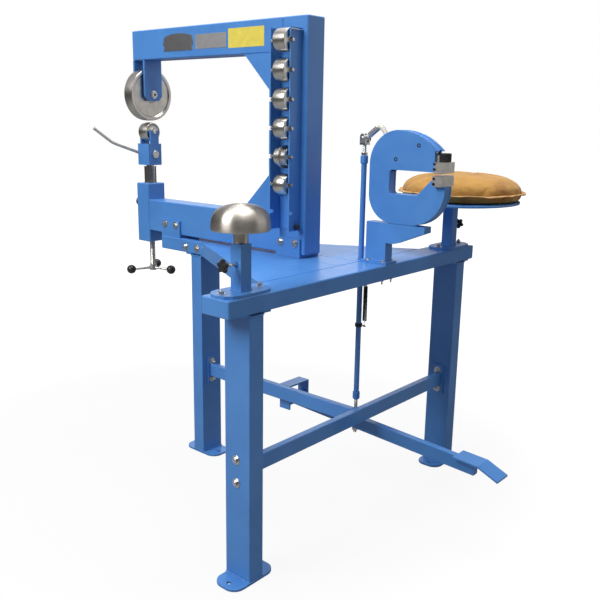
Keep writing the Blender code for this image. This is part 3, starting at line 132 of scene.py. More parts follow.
class StationFinish(bpy.types.PropertyGroup):
    paint: colour_property("Paint", "Colour of the painted steel", (0.082, 0.268, 0.655))
    paint_deep: colour_property("Paint, deeper", "Colour where the paint is thick", (0.066, 0.228, 0.585))
    steel: colour_property("Ground steel", "Colour of the wheels, anvils and jaws", (0.70, 0.67, 0.62))
    dolly: colour_property("Mushroom steel", "Colour of the brushed mushroom dolly", (0.64, 0.59, 0.53))
    steel_dark: colour_property("Tool steel", "Colour of nuts and oiled steel", (0.17, 0.16, 0.15))
    zinc: colour_property("Plated steel", "Colour of bolts, nuts and pins", (0.74, 0.74, 0.73))
    lever: colour_property("Lever steel", "Colour of the plated levers", (0.80, 0.76, 0.68))
    black: colour_property("Knob black", "Colour of knobs, balls and the spring", (0.014, 0.014, 0.016))
    leather: colour_property("Leather", "Main colour of the sand bag", (0.580, 0.305, 0.070))
    leather_deep: colour_property("Leather, deeper", "Colour of the darker patches", (0.400, 0.180, 0.042))
    leather_edge: colour_property("Leather edge", "Colour of the cut edge at the seam", (0.700, 0.440, 0.210))
    cotton: colour_property("Thread", "Colour of the waxed thread", (0.62, 0.46, 0.26))
    cotton_deep: colour_property("Thread, deeper", "Colour between the strands", (0.44, 0.30, 0.15))
    plate_dark: colour_property("Shield plate", "Colour of the bare shield plate", (0.30, 0.30, 0.31))
    plate_grey: colour_property("Grey plate", "Colour of the bare grey plate", (0.46, 0.45, 0.46))
    plate_yellow: colour_property("Yellow plate", "Colour of the bare yellow plate", (0.80, 0.66, 0.10))
    backdrop: colour_property("Backdrop", "Colour of the studio floor and backdrop", (1.0, 1.0, 1.0))


class StationSizes(bpy.types.PropertyGroup):
    bolt: length_property("Bolt", "Width across the flats of the frame bolts", 0.015)
    nut: length_property("Small bolt", "Width across the flats of the small bolts", 0.011)
    thread: length_property("Thread pitch", "Pitch of the threads that show", 0.0025)
    edge: length_property("Edge", "Rounding of the painted edges", 0.0014)
    weld: length_property("Weld", "Radius of the weld beads", 0.0026)
    seam: length_property("Seam", "Width of the sewn lip round the sand bag", 0.012)


# Measuring
def low(node):
    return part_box(node)[0]


def high(node):
    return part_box(node)[1]


def middle(node):
    return (low(node) + high(node)) / 2


def finish_values():
    return bpy.context.scene.station_finish


def sizes():
    return bpy.context.scene.station_sizes


# Materials
def node(tree, kind, **values):
    made = tree.nodes.new(kind)
    for key, value in values.items():
        if key in made.inputs:
            made.inputs[key].default_value = value
        else:
            setattr(made, key, value)
    return made


def put(target, values):
    """Set the inputs of a node by name."""
    for name, value in values.items():
        target.inputs[name].default_value = value


def wire_up(tree, source, output, target, name):
    tree.links.new(source.outputs[output], target.inputs[name])


def noise(tree, scale, detail=3.0, roughness=0.55, stretch=None):
    """Noise over the piece's own coordinates, in repeats per metre."""
    source = node(tree, "ShaderNodeTexCoord")
    output = "Object"
    made = node(tree, "ShaderNodeTexNoise", Scale=scale, Detail=detail, Roughness=roughness)
    if stretch is not None:
        mapping = node(tree, "ShaderNodeMapping", Scale=stretch)
        wire_up(tree, source, output, mapping, "Vector")
        source, output = mapping, "Vector"
    wire_up(tree, source, output, made, "Vector")
    return made


def ramp(tree, texture, stops, output="Fac"):
    """Turn a texture into colours; a single number stands for a grey."""
    made = node(tree, "ShaderNodeValToRGB")
    elements = made.color_ramp.elements
    while len(elements) < len(stops):
        elements.new(0.5)
    for element, (position, colour) in zip(elements, stops):
        element.position = position
        element.color = (colour, colour, colour, 1) if isinstance(colour, float) else (*colour, 1)
    wire_up(tree, texture, output, made, "Fac")
    return made


def drive(tree, shader, socket, texture, stops):
    wire_up(tree, ramp(tree, texture, stops), "Color", shader, socket)


def bump(tree, source, output, shader, strength, distance, after=None):
    made = node(tree, "ShaderNodeBump", Strength=strength, Distance=distance)
    wire_up(tree, source, output, made, "Height")
    if after is not None:
        wire_up(tree, after, "Normal", made, "Normal")
    if shader is not None:
        wire_up(tree, made, "Normal", shader, "Normal")
    return made


def darker(colour, share):
    return [channel * share for channel in colour]


def base(shader, colour, roughness, metallic=0.0):
    put(shader, {"Base Color": (*colour, 1), "Roughness": roughness, "Metallic": metallic})


def paint(tree, shader):
    """Glossy workshop enamel with faint orange peel and uneven depth."""
    values = finish_values()
    base(shader, values.paint, 0.36)
    stops = [(0.32, values.paint_deep), (0.68, values.paint)]
    drive(tree, shader, "Base Color", noise(tree, 6.0, 4.0), stops)
    drive(tree, shader, "Roughness", noise(tree, 24.0), [(0.3, 0.30), (0.75, 0.44)])
    bump(tree, noise(tree, 420.0, 2.0, 0.5), "Fac", shader, 0.10, 0.0004)
    put(shader, {"Coat Weight": 0.25, "Coat Roughness": 0.22})


def turned_steel(tree, shader, colour, roughness, mark, streak):
    """Ground steel with fine marks that run round the piece's own Z axis."""
    base(shader, colour, roughness, 1.0)
    place = node(tree, "ShaderNodeTexCoord")
    apart = node(tree, "ShaderNodeSeparateXYZ")
    wire_up(tree, place, "Object", apart, "Vector")
    flat = node(tree, "ShaderNodeCombineXYZ")
    wire_up(tree, apart, "X", flat, "X")
    wire_up(tree, apart, "Y", flat, "Y")
    reach = node(tree, "ShaderNodeVectorMath", operation="LENGTH")
    wire_up(tree, flat, "Vector", reach, 0)
    lined = node(tree, "ShaderNodeCombineXYZ")
    wire_up(tree, reach, "Value", lined, "X")
    wire_up(tree, apart, "Z", lined, "Y")
    rings = node(tree, "ShaderNodeTexNoise", Scale=900.0, Detail=3.0, Roughness=0.6)
    wire_up(tree, lined, "Vector", rings, "Vector")
    bump(tree, rings, "Fac", shader, mark, 0.0003)
    levels = [(0.3, max(0.05, roughness - 0.07)), (0.7, roughness + 0.09)]
    drive(tree, shader, "Roughness", rings, levels)
    drive(tree, shader, "Base Color", noise(tree, 30.0, 4.0), [(0.3, darker(colour, 0.80)), (0.66, colour)])
    put(shader, {"Anisotropic": streak, "Anisotropic Rotation": 0.25})
    around = node(tree, "ShaderNodeTangent", direction_type="RADIAL", axis="Z")
    wire_up(tree, around, "Tangent", shader, "Tangent")


def drawn_steel(tree, shader, colour, roughness, stretch, mark, metallic=1.0):
    """Steel with marks drawn out along one direction."""
    base(shader, colour, roughness, metallic)
    lines = noise(tree, 1.0, 3.0, 0.6, stretch)
    bump(tree, lines, "Fac", shader, mark, 0.0003)
    levels = [(0.3, max(0.05, roughness - 0.08)), (0.7, roughness + 0.10)]
    drive(tree, shader, "Roughness", lines, levels)
    drive(tree, shader, "Base Color", noise(tree, 38.0), [(0.3, darker(colour, 0.82)), (0.7, colour)])


def black_plastic(tree, shader):
    black = finish_values().black
    base(shader, black, 0.34)
    grain = noise(tree, 520.0, 2.0)
    bump(tree, grain, "Fac", shader, 0.12, 0.0003)
    drive(tree, shader, "Roughness", grain, [(0.3, 0.26), (0.7, 0.44)])
    drive(tree, shader, "Base Color", noise(tree, 40.0), [(0.3, black), (0.7, darker(black, 1.9))])
    put(shader, {"Specular IOR Level": 0.55})


def spring_black(tree, shader):
    black = finish_values().black
    base(shader, black, 0.42, 0.4)
    scale = noise(tree, 260.0)
    drive(tree, shader, "Base Color", scale, [(0.35, black), (0.75, darker(black, 3))])
    bump(tree, scale, "Fac", shader, 0.1, 0.0002)


def leather(tree, shader):
    """Split leather: patchy tan, fine nap and a few pale scuffs."""
    values = finish_values()
    base(shader, values.leather, 0.82)
    pale = [min(1, channel * 1.22) for channel in values.leather]
    stops = [(0.30, values.leather_deep), (0.48, values.leather), (0.78, pale)]
    broad = ramp(tree, noise(tree, 9.0, 5.0, 0.6), stops)
    nap = noise(tree, 240.0, 4.0, 0.7)
    shade = ramp(tree, nap, [(0.25, 0.72), (0.75, 1.0)])
    mixed = node(tree, "ShaderNodeMix", data_type="RGBA", blend_type="MULTIPLY", Factor=0.75)
    first_colour, second_colour, colour_result = 6, 7, 2
    wire_up(tree, broad, "Color", mixed, first_colour)
    wire_up(tree, shade, "Color", mixed, second_colour)
    wire_up(tree, mixed, colour_result, shader, "Base Color")
    pores = node(tree, "ShaderNodeTexVoronoi", Scale=330.0)
    wire_up(tree, node(tree, "ShaderNodeTexCoord"), "Object", pores, "Vector")
    first = bump(tree, pores, "Distance", None, 0.16, 0.0006)
    bump(tree, nap, "Fac", shader, 0.26, 0.0007, first)
    put(shader, {"Sheen Weight": 0.18, "Sheen Roughness": 0.5, "Specular IOR Level": 0.25})


def fibre(tree, shader, colours, roughness, grain, stops, mark):
    """Cut leather and thread: fine fibres in two colours."""
    base(shader, colours[1], roughness)
    fibres = noise(tree, *grain)
    drive(tree, shader, "Base Color", fibres, list(zip(stops, colours)))
    bump(tree, fibres, "Fac", shader, *mark)


def bare_plate(tree, shader, colour, metallic):
    base(shader, colour, 0.42, metallic)
    bump(tree, noise(tree, 1.0, 2.0, 0.5, (60.0, 60.0, 1100.0)), "Fac", shader, 0.08, 0.0002)
    drive(tree, shader, "Base Color", noise(tree, 45.0), [(0.3, darker(colour, 0.88)), (0.7, colour)])


def recipes():
    """Every finish: what makes it, and the colours and measures it takes."""
    values = finish_values()
    even = (300.0, 300.0, 300.0)
    edge_colours = (values.leather, values.leather_edge)
    thread_colours = (values.cotton_deep, values.cotton)
    return {
        "blue_enamel": (paint,),
        "ground_steel": (turned_steel, values.steel, 0.30, 0.16, 0.55),
        "dolly_steel": (turned_steel, values.dolly, 0.36, 0.34, 0.90),
        "ground_block_steel": (drawn_steel, values.steel, 0.36, (20.0, 20.0, 500.0), 0.03),
        "quill_steel": (drawn_steel, values.steel, 0.15, (500.0, 500.0, 6.0), 0.05),
        "oiled_steel": (drawn_steel, values.steel_dark, 0.36, even, 0.12),
        "plated_steel": (drawn_steel, values.zinc, 0.30, (30.0, 30.0, 30.0), 0.01),
        "lever_steel": (drawn_steel, values.lever, 0.42, (14.0, 14.0, 14.0), 0.01, 0.05),
        "knob_black": (black_plastic,),
        "spring_black": (spring_black,),
        "suede_leather": (leather,),
        "leather_cut_edge": (fibre, edge_colours, 0.8, (300.0, 4.0, 0.7), (0.3, 0.65), (0.25, 0.0005)),
        "waxed_thread": (fibre, thread_colours, 0.7, (900.0, 2.0), (0.3, 0.7), (0.3, 0.0002)),
        "bare_steel_plate": (bare_plate, values.plate_dark, 0.9),
        "bare_grey_plate": (bare_plate, values.plate_grey, 0.6),
        "bare_yellow_plate": (bare_plate, values.plate_yellow, 0.0),
    }


def look(name):
    """The finish of that name, made when it is first asked for."""
    material = bpy.data.materials.get(name)
    if material is None:
        material = bpy.data.materials.new(name)
        material.use_nodes = True
        shader = material.node_tree.nodes["Principled BSDF"]
        maker, *measures = recipes()[name]
        maker(material.node_tree, shader, *measures)
        material.diffuse_color = shader.inputs["Base Color"].default_value
    return material


# Making pieces
def settle(piece, finish, body="stand_body", replaces=None, slot=None, edge=0.0, angle=32):
    """Dress a piece, put it on its body and hide the node it replaces."""
    piece.data.materials.append(look(finish))
    if piece.type == "MESH":
        piece.data.shade_smooth()
        piece.data.set_sharp_from_angle(angle=math.radians(angle))
    if edge:
        round_edges(piece, edge)
    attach(piece, body)
    slot = slot or SLOTS.get(finish)
    if replaces:
        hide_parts(replaces)
    return piece


def round_edges(piece, width):
    made = piece.modifiers.new("Rounded edges", "BEVEL")
    made.width = width
    made.segments = 2
    made.limit_method = "ANGLE"
    made.angle_limit = math.radians(30)
    made.use_clamp_overlap = True
    made.harden_normals = True


def mesh_piece(name, shape, matrix=SAME):
    mesh = bpy.data.meshes.new(name)
    bmesh.ops.recalc_face_normals(shape, faces=shape.faces)
    shape.to_mesh(mesh)
    shape.free()
    piece = bpy.data.objects.new(name, mesh)
    bpy.context.scene.collection.objects.link(piece)
    piece.matrix_world = matrix
    return piece


def fit(name, shape, finish, body="stand_body", matrix=SAME, **others):
    """Make a mesh piece of a shape and settle it."""
    return settle(mesh_piece(name, shape, matrix), finish, body, **others)


def at(place, facing="z"):
    """The matrix that stands a piece at a place with its Z axis along a direction."""
    return Matrix.Translation(place) @ AXIS_TURN[facing]


def polar(radius, angle):
    return radius * math.cos(angle), radius * math.sin(angle)


def arc(centre, radius, start, end, steps):
    """Points along an arc, both ends with them."""
    points = [polar(radius, start + (end - start) * i / steps) for i in range(steps + 1)]
    return [(centre[0] + a, centre[1] + b) for a, b in points]


def mirrored(profile):
    """A profile followed by its image below the middle."""
    return profile + [(radius, -height) for radius, height in reversed(profile)]


def lifted(profile, rise):
    return [(radius, height + rise) for radius, height in profile]


def pin(radius, bottom, top, trim, rise=None):
    """Profile of a round bar with its ends trimmed."""
    rise = trim if rise is None else rise
    return [(0, top), (radius - trim, top), (radius, top - rise),
            (radius, bottom + rise), (radius - trim, bottom), (0, bottom)]


def ring(shape, points, matrix=SAME):
    return [shape.verts.new(matrix @ Vector(point)) for point in points]


def skin(shape, rings, closed=False, caps=False):
    """Join rings of points with faces; a ring of one point is a tip."""
    pairs = list(zip(rings, rings[1:]))
    if closed:
        pairs.append((rings[-1], rings[0]))
    for first, second in pairs:
        count = max(len(first), len(second))
        for i in range(count):
            j = (i + 1) % count
            corners = [first[i % len(first)], first[j % len(first)]]
            corners += [second[j % len(second)], second[i % len(second)]]
            unique = list(dict.fromkeys(corners))
            if len(unique) > 2:
                shape.faces.new(unique)
    if caps:
        shape.faces.new(rings[0])
        shape.faces.new(rings[-1])


def lathe(shape, profile, steps, matrix=SAME):
    """Turn a profile of radius and height round Z inside a bmesh."""
    closed = profile[0] == profile[-1]
    rings = []
    for radius, height in profile[:-1] if closed else profile:
        count = steps if radius > 1e-7 else 1
        points = [(*polar(radius, TURN * i / steps), height) for i in range(count)]
        rings.append(ring(shape, points, matrix))
    skin(shape, rings, closed)
    return shape


def turned(name, profile, axis, place, finish, body="stand_body", replaces=None, steps=48, slot=None):
    shape = lathe(bmesh.new(), profile, steps)
    return fit(name, shape, finish, body, at(place, axis), replaces=replaces, slot=slot)


def add_prism(shape, outline, bottom, top, matrix=SAME):
    lower, upper = [ring(shape, [(a, b, level) for a, b in outline], matrix) for level in (bottom, top)]
    shape.faces.new(lower)
    shape.faces.new(upper)
    skin(shape, (lower, upper))


def prism(name, outline, left, right, finish, **others):
    shape = bmesh.new()
    add_prism(shape, outline, left, right)
    return fit(name, shape, finish, matrix=SIDE_ON, **others)


def block(name, first, last, finish, body, edge):
    first, last = Vector(first), Vector(last)
    shape = bmesh.new()
    bmesh.ops.create_cube(shape, size=1)
    bmesh.ops.scale(shape, vec=last - first, verts=shape.verts)
    return fit(name, shape, finish, body, at((first + last) / 2), edge=edge)


def bent_path(points, radius, steps=8):
    """The points of a bar with its corners bent to a radius."""
    points = [Vector(p) for p in points]
    path = [points[0]]
    for before, corner, after in zip(points, points[1:], points[2:]):
        inward = (before - corner).normalized()
        outward = (after - corner).normalized()
        reach = min(radius, (before - corner).length / 2.2, (after - corner).length / 2.2)
        start = corner + inward * reach
        end = corner + outward * reach
        for i in range(steps + 1):
            t = i / steps
            path.append(start * (1 - t) ** 2 + corner * 2 * t * (1 - t) + end * t ** 2)
    path.append(points[-1])
    return path


def curve(name, loops, closed, radius, resolution, dimensions="3D"):
    """A bevelled curve through the points of each loop."""
    data = bpy.data.curves.new(name, "CURVE")
    data.dimensions = dimensions
    data.bevel_depth = radius
    data.bevel_resolution = resolution
    for loop in loops:
        line = data.splines.new("POLY")
        line.points.add(len(loop) - 1)
        for point, place in zip(line.points, loop):
            point.co = (*place, 1)
        line.use_cyclic_u = closed
    piece = bpy.data.objects.new(name, data)
    bpy.context.scene.collection.objects.link(piece)
    return piece


def bar(name, points, radius, finish, body="stand_body", resolution=5, replaces=None):
    piece = curve(name, [points], False, radius, resolution)
    piece.data.use_fill_caps = True
    piece.data.splines[0].use_smooth = True
    return settle(piece, finish, body, replaces)


def threaded(shape, radius, depth, bottom, top, around, matrix=SAME):
    """A screw thread as one winding surface, with closed ends."""
    pitch = sizes().thread
    rows = max(4, int((top - bottom) / pitch * 4))
    grid = []
    for k in range(rows + 1):
        z = bottom + (top - bottom) * k / rows
        points = []
        for i in range(around):
            phase = ((z - bottom) / pitch - i / around) % 1
            points.append((*polar(radius - depth * abs(2 * phase - 1), TURN * i / around), z))
        grid.append(ring(shape, points, matrix))
    skin(shape, grid, caps=True)


def hexagon(across, turn=0.0):
    return [polar(across / math.sqrt(3), turn + i * math.pi / 3) for i in range(6)]


def add_hex(shape, across, bottom, top, turn=0.0, matrix=SAME):
    """A bolt head or nut with its corners turned off at both ends."""
    trim = across * 0.075
    layers = [(0.93, bottom), (1.0, bottom + trim * 0.5), (1.0, top - trim), (0.90, top)]
    corners = hexagon(across, turn)
    rings = [ring(shape, [(a * share, b * share, z) for a, b in corners], matrix) for share, z in layers]
    skin(shape, rings, caps=True)


def add_washer(shape, matrix, across):
    """A washer, and how thick it is."""
    radius, thick, edge = across * 0.98, across * 0.11, 0.0004
    profile = [(0, thick), (radius - edge, thick), (radius, thick - edge), (radius, 0), (0, 0)]
    lathe(shape, profile, 28, matrix)
    return thick


def bolt_head(shape, matrix, across, turn=0.0):
    """Washer, hexagon head and its raised face."""
    thick = add_washer(shape, matrix, across)
    top = thick + across * 0.46
    add_hex(shape, across, thick, top, turn, matrix)
    face, sunk = top + across * 0.03, top - 0.0002
    lathe(shape, [(0, face), (across * 0.36, face), (across * 0.40, sunk), (0, sunk)], 20, matrix)


def nut_and_stud(shape, matrix, across, turn=0.0, stud=0.55):
    thick = add_washer(shape, matrix, across)
    add_hex(shape, across, thick, thick + across * 0.55, turn, matrix)
    end = thick + across * (0.55 + stud)
    threaded(shape, across * 0.30, across * 0.035, thick + across * 0.5, end, 16, matrix)


def socket_screw(shape, matrix, radius, height):
    """Round head with a socket sunk into it."""
    floor = height * 0.45
    wide = radius * 0.56
    lathe(shape, [(wide, height), (radius * 0.92, height), (radius, height - radius * 0.1), (radius, 0),
                  (0, 0), (0, floor), (wide, floor), (wide, height)], 24, matrix)


def fasteners(name, places, maker, across, start, step, *others):
    """Like fasteners as one piece, each turned a little further than the last."""
    shape = bmesh.new()
    for i, (point, facing) in enumerate(places):
        maker(shape, at(point, facing), across, start + i * step, *others)
    return fit(name, shape, "plated_steel", angle=28)


def weld_loop(name, points, closed=True):
    """A painted weld bead with its ripples along a path."""
    points = [Vector(p) for p in points]
    ends = points[1:] + ([points[0]] if closed else [])
    path = []
    for first, last in zip(points, ends):
        count = max(2, int((last - first).length / 0.0022))
        path += [first.lerp(last, i / count) for i in range(count)]
    piece = curve(name, [path], closed, sizes().weld, 1)
    for i, point in enumerate(piece.data.splines[0].points):
        point.radius = 0.86 + 0.14 * math.cos(i * QUARTER) + 0.05 * math.sin(i * 1.7)
    return settle(piece, "blue_enamel")


def corners_of(half_x, half_y):
    return [(-half_x, -half_y), (half_x, -half_y), (half_x, half_y), (-half_x, half_y)]


def square_loop(centre, half_x, half_y, z):
    return [(centre[0] + a, centre[1] + b, z) for a, b in corners_of(half_x, half_y)]


# Steps
class STATION_OT_paint_frame(bpy.types.Operator):
    """Give every carried over node its finish and soften its edges"""

    bl_idname = "station.paint_frame"
    bl_label = "Paint the frame"

    def execute(self, context):
        for entry in frame["record"]["subparts"]:
            name, slot = entry["node"], entry["material_slot"]
            piece = frame["nodes"][name]
            piece.data.materials.clear()
            piece.data.materials.append(look(CARRIED.get(name, CARRIED[slot])))
            piece.data.shade_smooth()
            piece.data.set_sharp_from_angle(angle=math.radians(24))
            if slot == "blue":
                round_edges(piece, sizes().edge)
        return {"FINISHED"}


def wheel_profile(radius, half, bore, crown, hub, rim_inner, dish, chamfer=0.0022):
    """Hub face, dished web, flat rim and crowned tread, then the same behind."""
    lip = 0.0018
    face = [(bore, half), (hub - lip, half), (hub, half - lip), (hub + lip, half - dish),
            (rim_inner - dish * 0.8, half - dish), (rim_inner, half - lip), (rim_inner + lip, half),
            (radius - crown - chamfer, half)]
    shares = [1 - k / 5 for k in range(11)]
    tread = [(radius - crown * share * share, (half - chamfer) * share) for share in shares]
    back = [(r, -z) for r, z in reversed(face)]
    return face + tread + back + [face[0]]


class STATION_OT_legs(bpy.types.Operator):
    """Weld up the legs, each with its head plate and round cornered foot"""

    bl_idname = "station.legs"
    bl_label = "Legs"

    def execute(self, context):
        overhang, sheet, foot_top, play = 0.030, 0.006, 0.0078, 0.0001
        for name in ("leg_left", "leg_right", "leg_rear"):
            first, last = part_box(name)
            along_y = last.y - first.y > last.x - first.x
            tube = (LEG_NARROW, foot_top, last.z - play)
            head = (LEG_NARROW + overhang, last.z - sheet, last.z)
            shape = bmesh.new()
            for long, bottom, top in (tube, head):
                halves = (LEG_WIDE, long) if along_y else (long, LEG_WIDE)
                add_prism(shape, corners_of(*halves), bottom, top)
            place = at((*middle(name).xy, 0))
            fit(name + "_tube", shape, "blue_enamel", matrix=place, replaces=name, edge=sizes().edge)
            self.foot(name + "_foot", place, along_y)
        return {"FINISHED"}

    def foot(self, name, place, along_y):
        """Plate with round corners and a hole at each end."""
        overhang, corner, hole, half_thick, rounding = 0.061, 0.038, 0.007, 0.004, 0.0008
        inner_x = LEG_NARROW + overhang - corner
        inner_y = LEG_WIDE - corner
        outline = []
        for quarter, (a, b) in enumerate(((1, -1), (1, 1), (-1, 1), (-1, -1)), -1):
            centre = (a * inner_x, b * inner_y)
            outline += arc(centre, corner, quarter * QUARTER, (quarter + 1) * QUARTER, 12)
        reach = LEG_NARROW + overhang * 0.60
        holes = [arc((side * reach, 0), hole, 0, TURN, 24)[:-1] for side in (-1, 1)]
        loops = [[(a, b, 0) for a, b in loop] for loop in (outline, *holes)]
        piece = curve(name, loops, True, rounding, 2, "2D")
        piece.data.fill_mode = "BOTH"
        piece.data.extrude = half_thick - rounding
        piece.data.offset = -rounding
        turn = Matrix.Rotation(QUARTER, 4, "Z") if along_y else SAME
        piece.matrix_world = place @ at((0, 0, half_thick)) @ turn
        settle(piece, "blue_enamel")


class STATION_OT_turn_wheels(bpy.types.Operator):
    """Turn the upper wheel with its bearings and axle, and the anvil with its axle"""

    bl_idname = "station.turn_wheels"
    bl_label = "Upper wheel and anvil"

    def execute(self, context):
        self.upper_wheel()
        size = (high("anvil") - low("anvil")) / 2
        wheel = wheel_profile(size.z, size.y, 0.0086, 0.0024, 0.0145, size.z * 0.80, 0.0026, 0.0014)
        turned("anvil_turned", wheel, "y", middle("anvil"), "ground_steel", "anvil_body", "anvil", 84)
        reach = (high("anvil_axle").y - low("anvil_axle").y) / 2
        turned("anvil_axle_turned", pin(0.0079, -reach, reach, 0.0011), "y", middle("anvil_axle"),
               "plated_steel", "yoke_body", "anvil_axle", 40, "dark")
        return {"FINISHED"}

    def upper_wheel(self):
        centre = middle("upper_wheel")
        size = (high("upper_wheel") - low("upper_wheel")) / 2
        wheel = wheel_profile(size.z, size.y, 0.0185, 0.0010, 0.030, size.z * 0.86, 0.0045)
        turned("upper_wheel_turned", wheel, "y", centre, "ground_steel", "upper_wheel_body",
               "upper_wheel", 112)
        face, groove, back = size.y - 0.0006, size.y - 0.0016, size.y - 0.006
        bore, outer = 0.0130, 0.0184
        bearing = [(bore, face), (0.0150, face), (0.0152, groove), (0.0168, groove), (0.0170, face),
                   (outer, face), (outer, back), (bore, back), (bore, face)]
        for side, tag in ((-1, "near"), (1, "far")):
            turned("upper_bearing_" + tag, [(r, z * side) for r, z in bearing], "y", centre,
                   "oiled_steel", "upper_wheel_body")
        axle = middle("upper_axle")
        reach = (high("upper_axle").y - low("upper_axle").y) / 2
        inner, sunk = reach - 0.0078, reach - 0.0050
        collar = inner + 0.0016
        recess, nose, flange = 0.0062, 0.0128, 0.0160
        half = [(0, sunk), (recess, sunk), (recess, reach), (0.0118, reach), (nose, reach - 0.001),
                (nose, collar), (flange, collar), (flange, inner), (0.0124, inner)]
        turned("upper_axle_turned", mirrored(half), "y", axle, "plated_steel", "stand_body", "upper_axle",
               48, "dark")
        # Dark hexagons in the recesses at the axle's ends: painted shade that stands in for the holes of the
        # hex sockets
        for side, tag, facing in ((-1, "near", "-y"), (1, "far", "y")):
            shape = bmesh.new()
            place = at(axle + Vector((0, side * (sunk + 0.0002), 0)), facing)
            add_prism(shape, hexagon(0.0098), 0, 0.0012, place)
            fit("upper_axle_socket_" + tag, shape, "oiled_steel")


class STATION_OT_turn_spares(bpy.types.Operator):
    """Turn the spare anvils, each with its own crown, and one with a thin flange"""

    bl_idname = "station.turn_spares"
    bl_label = "Spare anvils"

    def execute(self, context):
        row_y, stub_trim, tip = -0.492, 0.0024, 0.001
        radius, half, axle, face = 0.038, 0.025, 0.0058, 0.0016
        hub = [(axle, half), (0.012, half), (0.0135, half - face)]
        for number, share in enumerate((0.02, 0.035, 0.055, 0.08, 0.0, 0.14), 1):
            name = "spare_anvil_%d" % number
            centre = middle(name)
            stub = (high(name).y - low(name).y) / 2 - stub_trim
            crown = radius * share
            tread = self.crowned(radius, half, face, crown) if crown else self.flanged(radius, half, face)
            wheel = hub + tread + [(r, -z) for r, z in reversed(hub)]
            profile = [(0, stub), (axle - tip, stub), (axle, stub - tip)] + lifted(wheel, row_y - centre.y)
            profile += [(axle, -stub + tip), (axle - tip, -stub), (0, -stub)]
            turned(name + "_turned", profile, "y", centre, "ground_steel", "spare_body_%d" % number, name, 64)
        self.rack_fittings()
        return {"FINISHED"}

    def crowned(self, radius, half, face, crown):
        """A tread that falls away by its crown towards both sides."""
        edge, rim = 0.0012, radius - crown
        side = [(rim - 0.007, half - face), (rim - 0.005, half), (rim - edge, half)]
        shares = [1 - k / 6 for k in range(13)]
        tread = [(radius - crown * share * share, (half - edge) * share) for share in shares]
        return side + tread + [(r, -z) for r, z in reversed(side)]

    def flanged(self, radius, half, face):
        """A straight barrel with a thin flange in its middle."""
        barrel, thin, edge, fillet = 0.030, 0.006, 0.0012, 0.002
        return mirrored([
            (barrel - 0.006, half - face), (barrel - 0.004, half), (barrel - 0.001, half),
            (barrel, half - 0.001), (barrel, thin + fillet), (barrel + fillet, thin),
            (radius - edge, thin), (radius, thin - edge)])

    def rack_fittings(self):
        """The pin at the rack's top and the small black stop knob."""
        first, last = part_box("anvil_rack")
        shape = bmesh.new()
        place = at((first.x + 0.001, first.y - 0.0021, last.z - 0.007), "x")
        lathe(shape, pin(0.0022, 0, 0.052, 0.0004, 0.0006), 16, place)
        fit("rack_top_pin", shape, "plated_steel")
        knob = middle("rack_knob")
        reach = first.y - low("rack_knob").y
        radius, foot = 0.0100, 0.0006
        profile = [(0, reach), (0.0072, reach), (radius, reach - 0.0022), (radius, 0.004),
                   (0.0085, foot), (0, foot)]
        turned("rack_knob_turned", profile, "-y", (knob.x, first.y, knob.z), "knob_black", "stand_body",
               "rack_knob", 32)


class STATION_OT_feed_screw(bpy.types.Operator):
    """Thread the feed screw and turn its hub, arms and ball handles"""

    bl_idname = "station.feed_screw"
    bl_label = "Feed screw"

    def execute(self, context):
        base = low("feed_screw").z
        axis = Vector((0, middle("quill").y, 0))
        thick, wide, ridge = 0.020, 0.0160, 0.0118
        hub = [(0, thick), (0.0105, thick), (wide, 0.0165), (wide, 0.0035), (0.0130, 0), (0, 0)]
        collar = [(0, 0.026), (ridge, 0.026), (ridge, 0.0196), (0, 0.0196)]
        arm_radius, arm_root, arm_level = 0.0050, 0.0195, 0.010
        shape = bmesh.new()
        lathe(shape, lifted(hub, base), 48)
        lathe(shape, lifted(collar, base), 32)
        threaded(shape, 0.0112, 0.0010, base + 0.024, high("feed_screw").z - 0.001, 28)
        radius = 0.0185
        ball = [(0, radius)] + [(radius * math.sin(a), radius * math.cos(a))
                                for a in [math.pi * k / 18 for k in range(1, 17)]]
        neck, end = 0.0062, -radius * 0.985
        ball += [(neck, -radius * 0.93), (neck, end), (0, end)]
        balls = []
        for name in ("handle_ball_1", "handle_ball_2", "handle_ball_3"):
            spoke = middle(name) - axis
            turn = Matrix.Rotation(math.atan2(spoke.y, spoke.x), 4, "Z") @ AXIS_TURN["x"]
            tip = math.hypot(spoke.x, spoke.y) - 0.013
            arm = [(0, tip), (0.0046, tip), (arm_radius, tip - 0.0015), (arm_radius, arm_root),
                   (0.0062, 0.0150), (0, 0.0150)]
            lathe(shape, arm, 20, at((0, 0, base + arm_level)) @ turn)
            balls.append((name, at(middle(name)) @ turn))
        fit("feed_screw_threaded", shape, "ground_steel", "screw_body", at(axis), replaces="feed_screw")
        for name, matrix in balls:
            shape = lathe(bmesh.new(), ball, 32)
            fit(name + "_turned", shape, "knob_black", "screw_body", matrix, replaces=name)
        return {"FINISHED"}


class STATION_OT_release(bpy.types.Operator):
    """Bend the anvil release lever and turn its cam shaft"""

    bl_idname = "station.release"
    bl_label = "Anvil release"

    def execute(self, context):
        level, cheek, outer = 1.198, 0.0356, 0.0554
        boss, shaft, head = 0.0130, 0.0098, 0.0154
        centre = Vector((0, middle("quill").y, level))
        near = low("release_lever").y - centre.y
        profile = [(0, outer), (0.0115, outer), (boss, outer - 0.0015), (boss, cheek), (shaft, cheek),
                   (shaft, -cheek), (head, -cheek), (head, near + 0.0008), (0.0146, near), (0, near)]
        turned("release_shaft_turned", profile, "y", centre, "plated_steel", "release_body", "release_lever")
        y = centre.y + 0.0454
        points = [(-0.006, y, level), (-0.148, y, 1.244), (-0.235, y, 1.3025)]
        bar("release_handle", bent_path(points, 0.022), 0.0060, "lever_steel", "release_body")
        return {"FINISHED"}


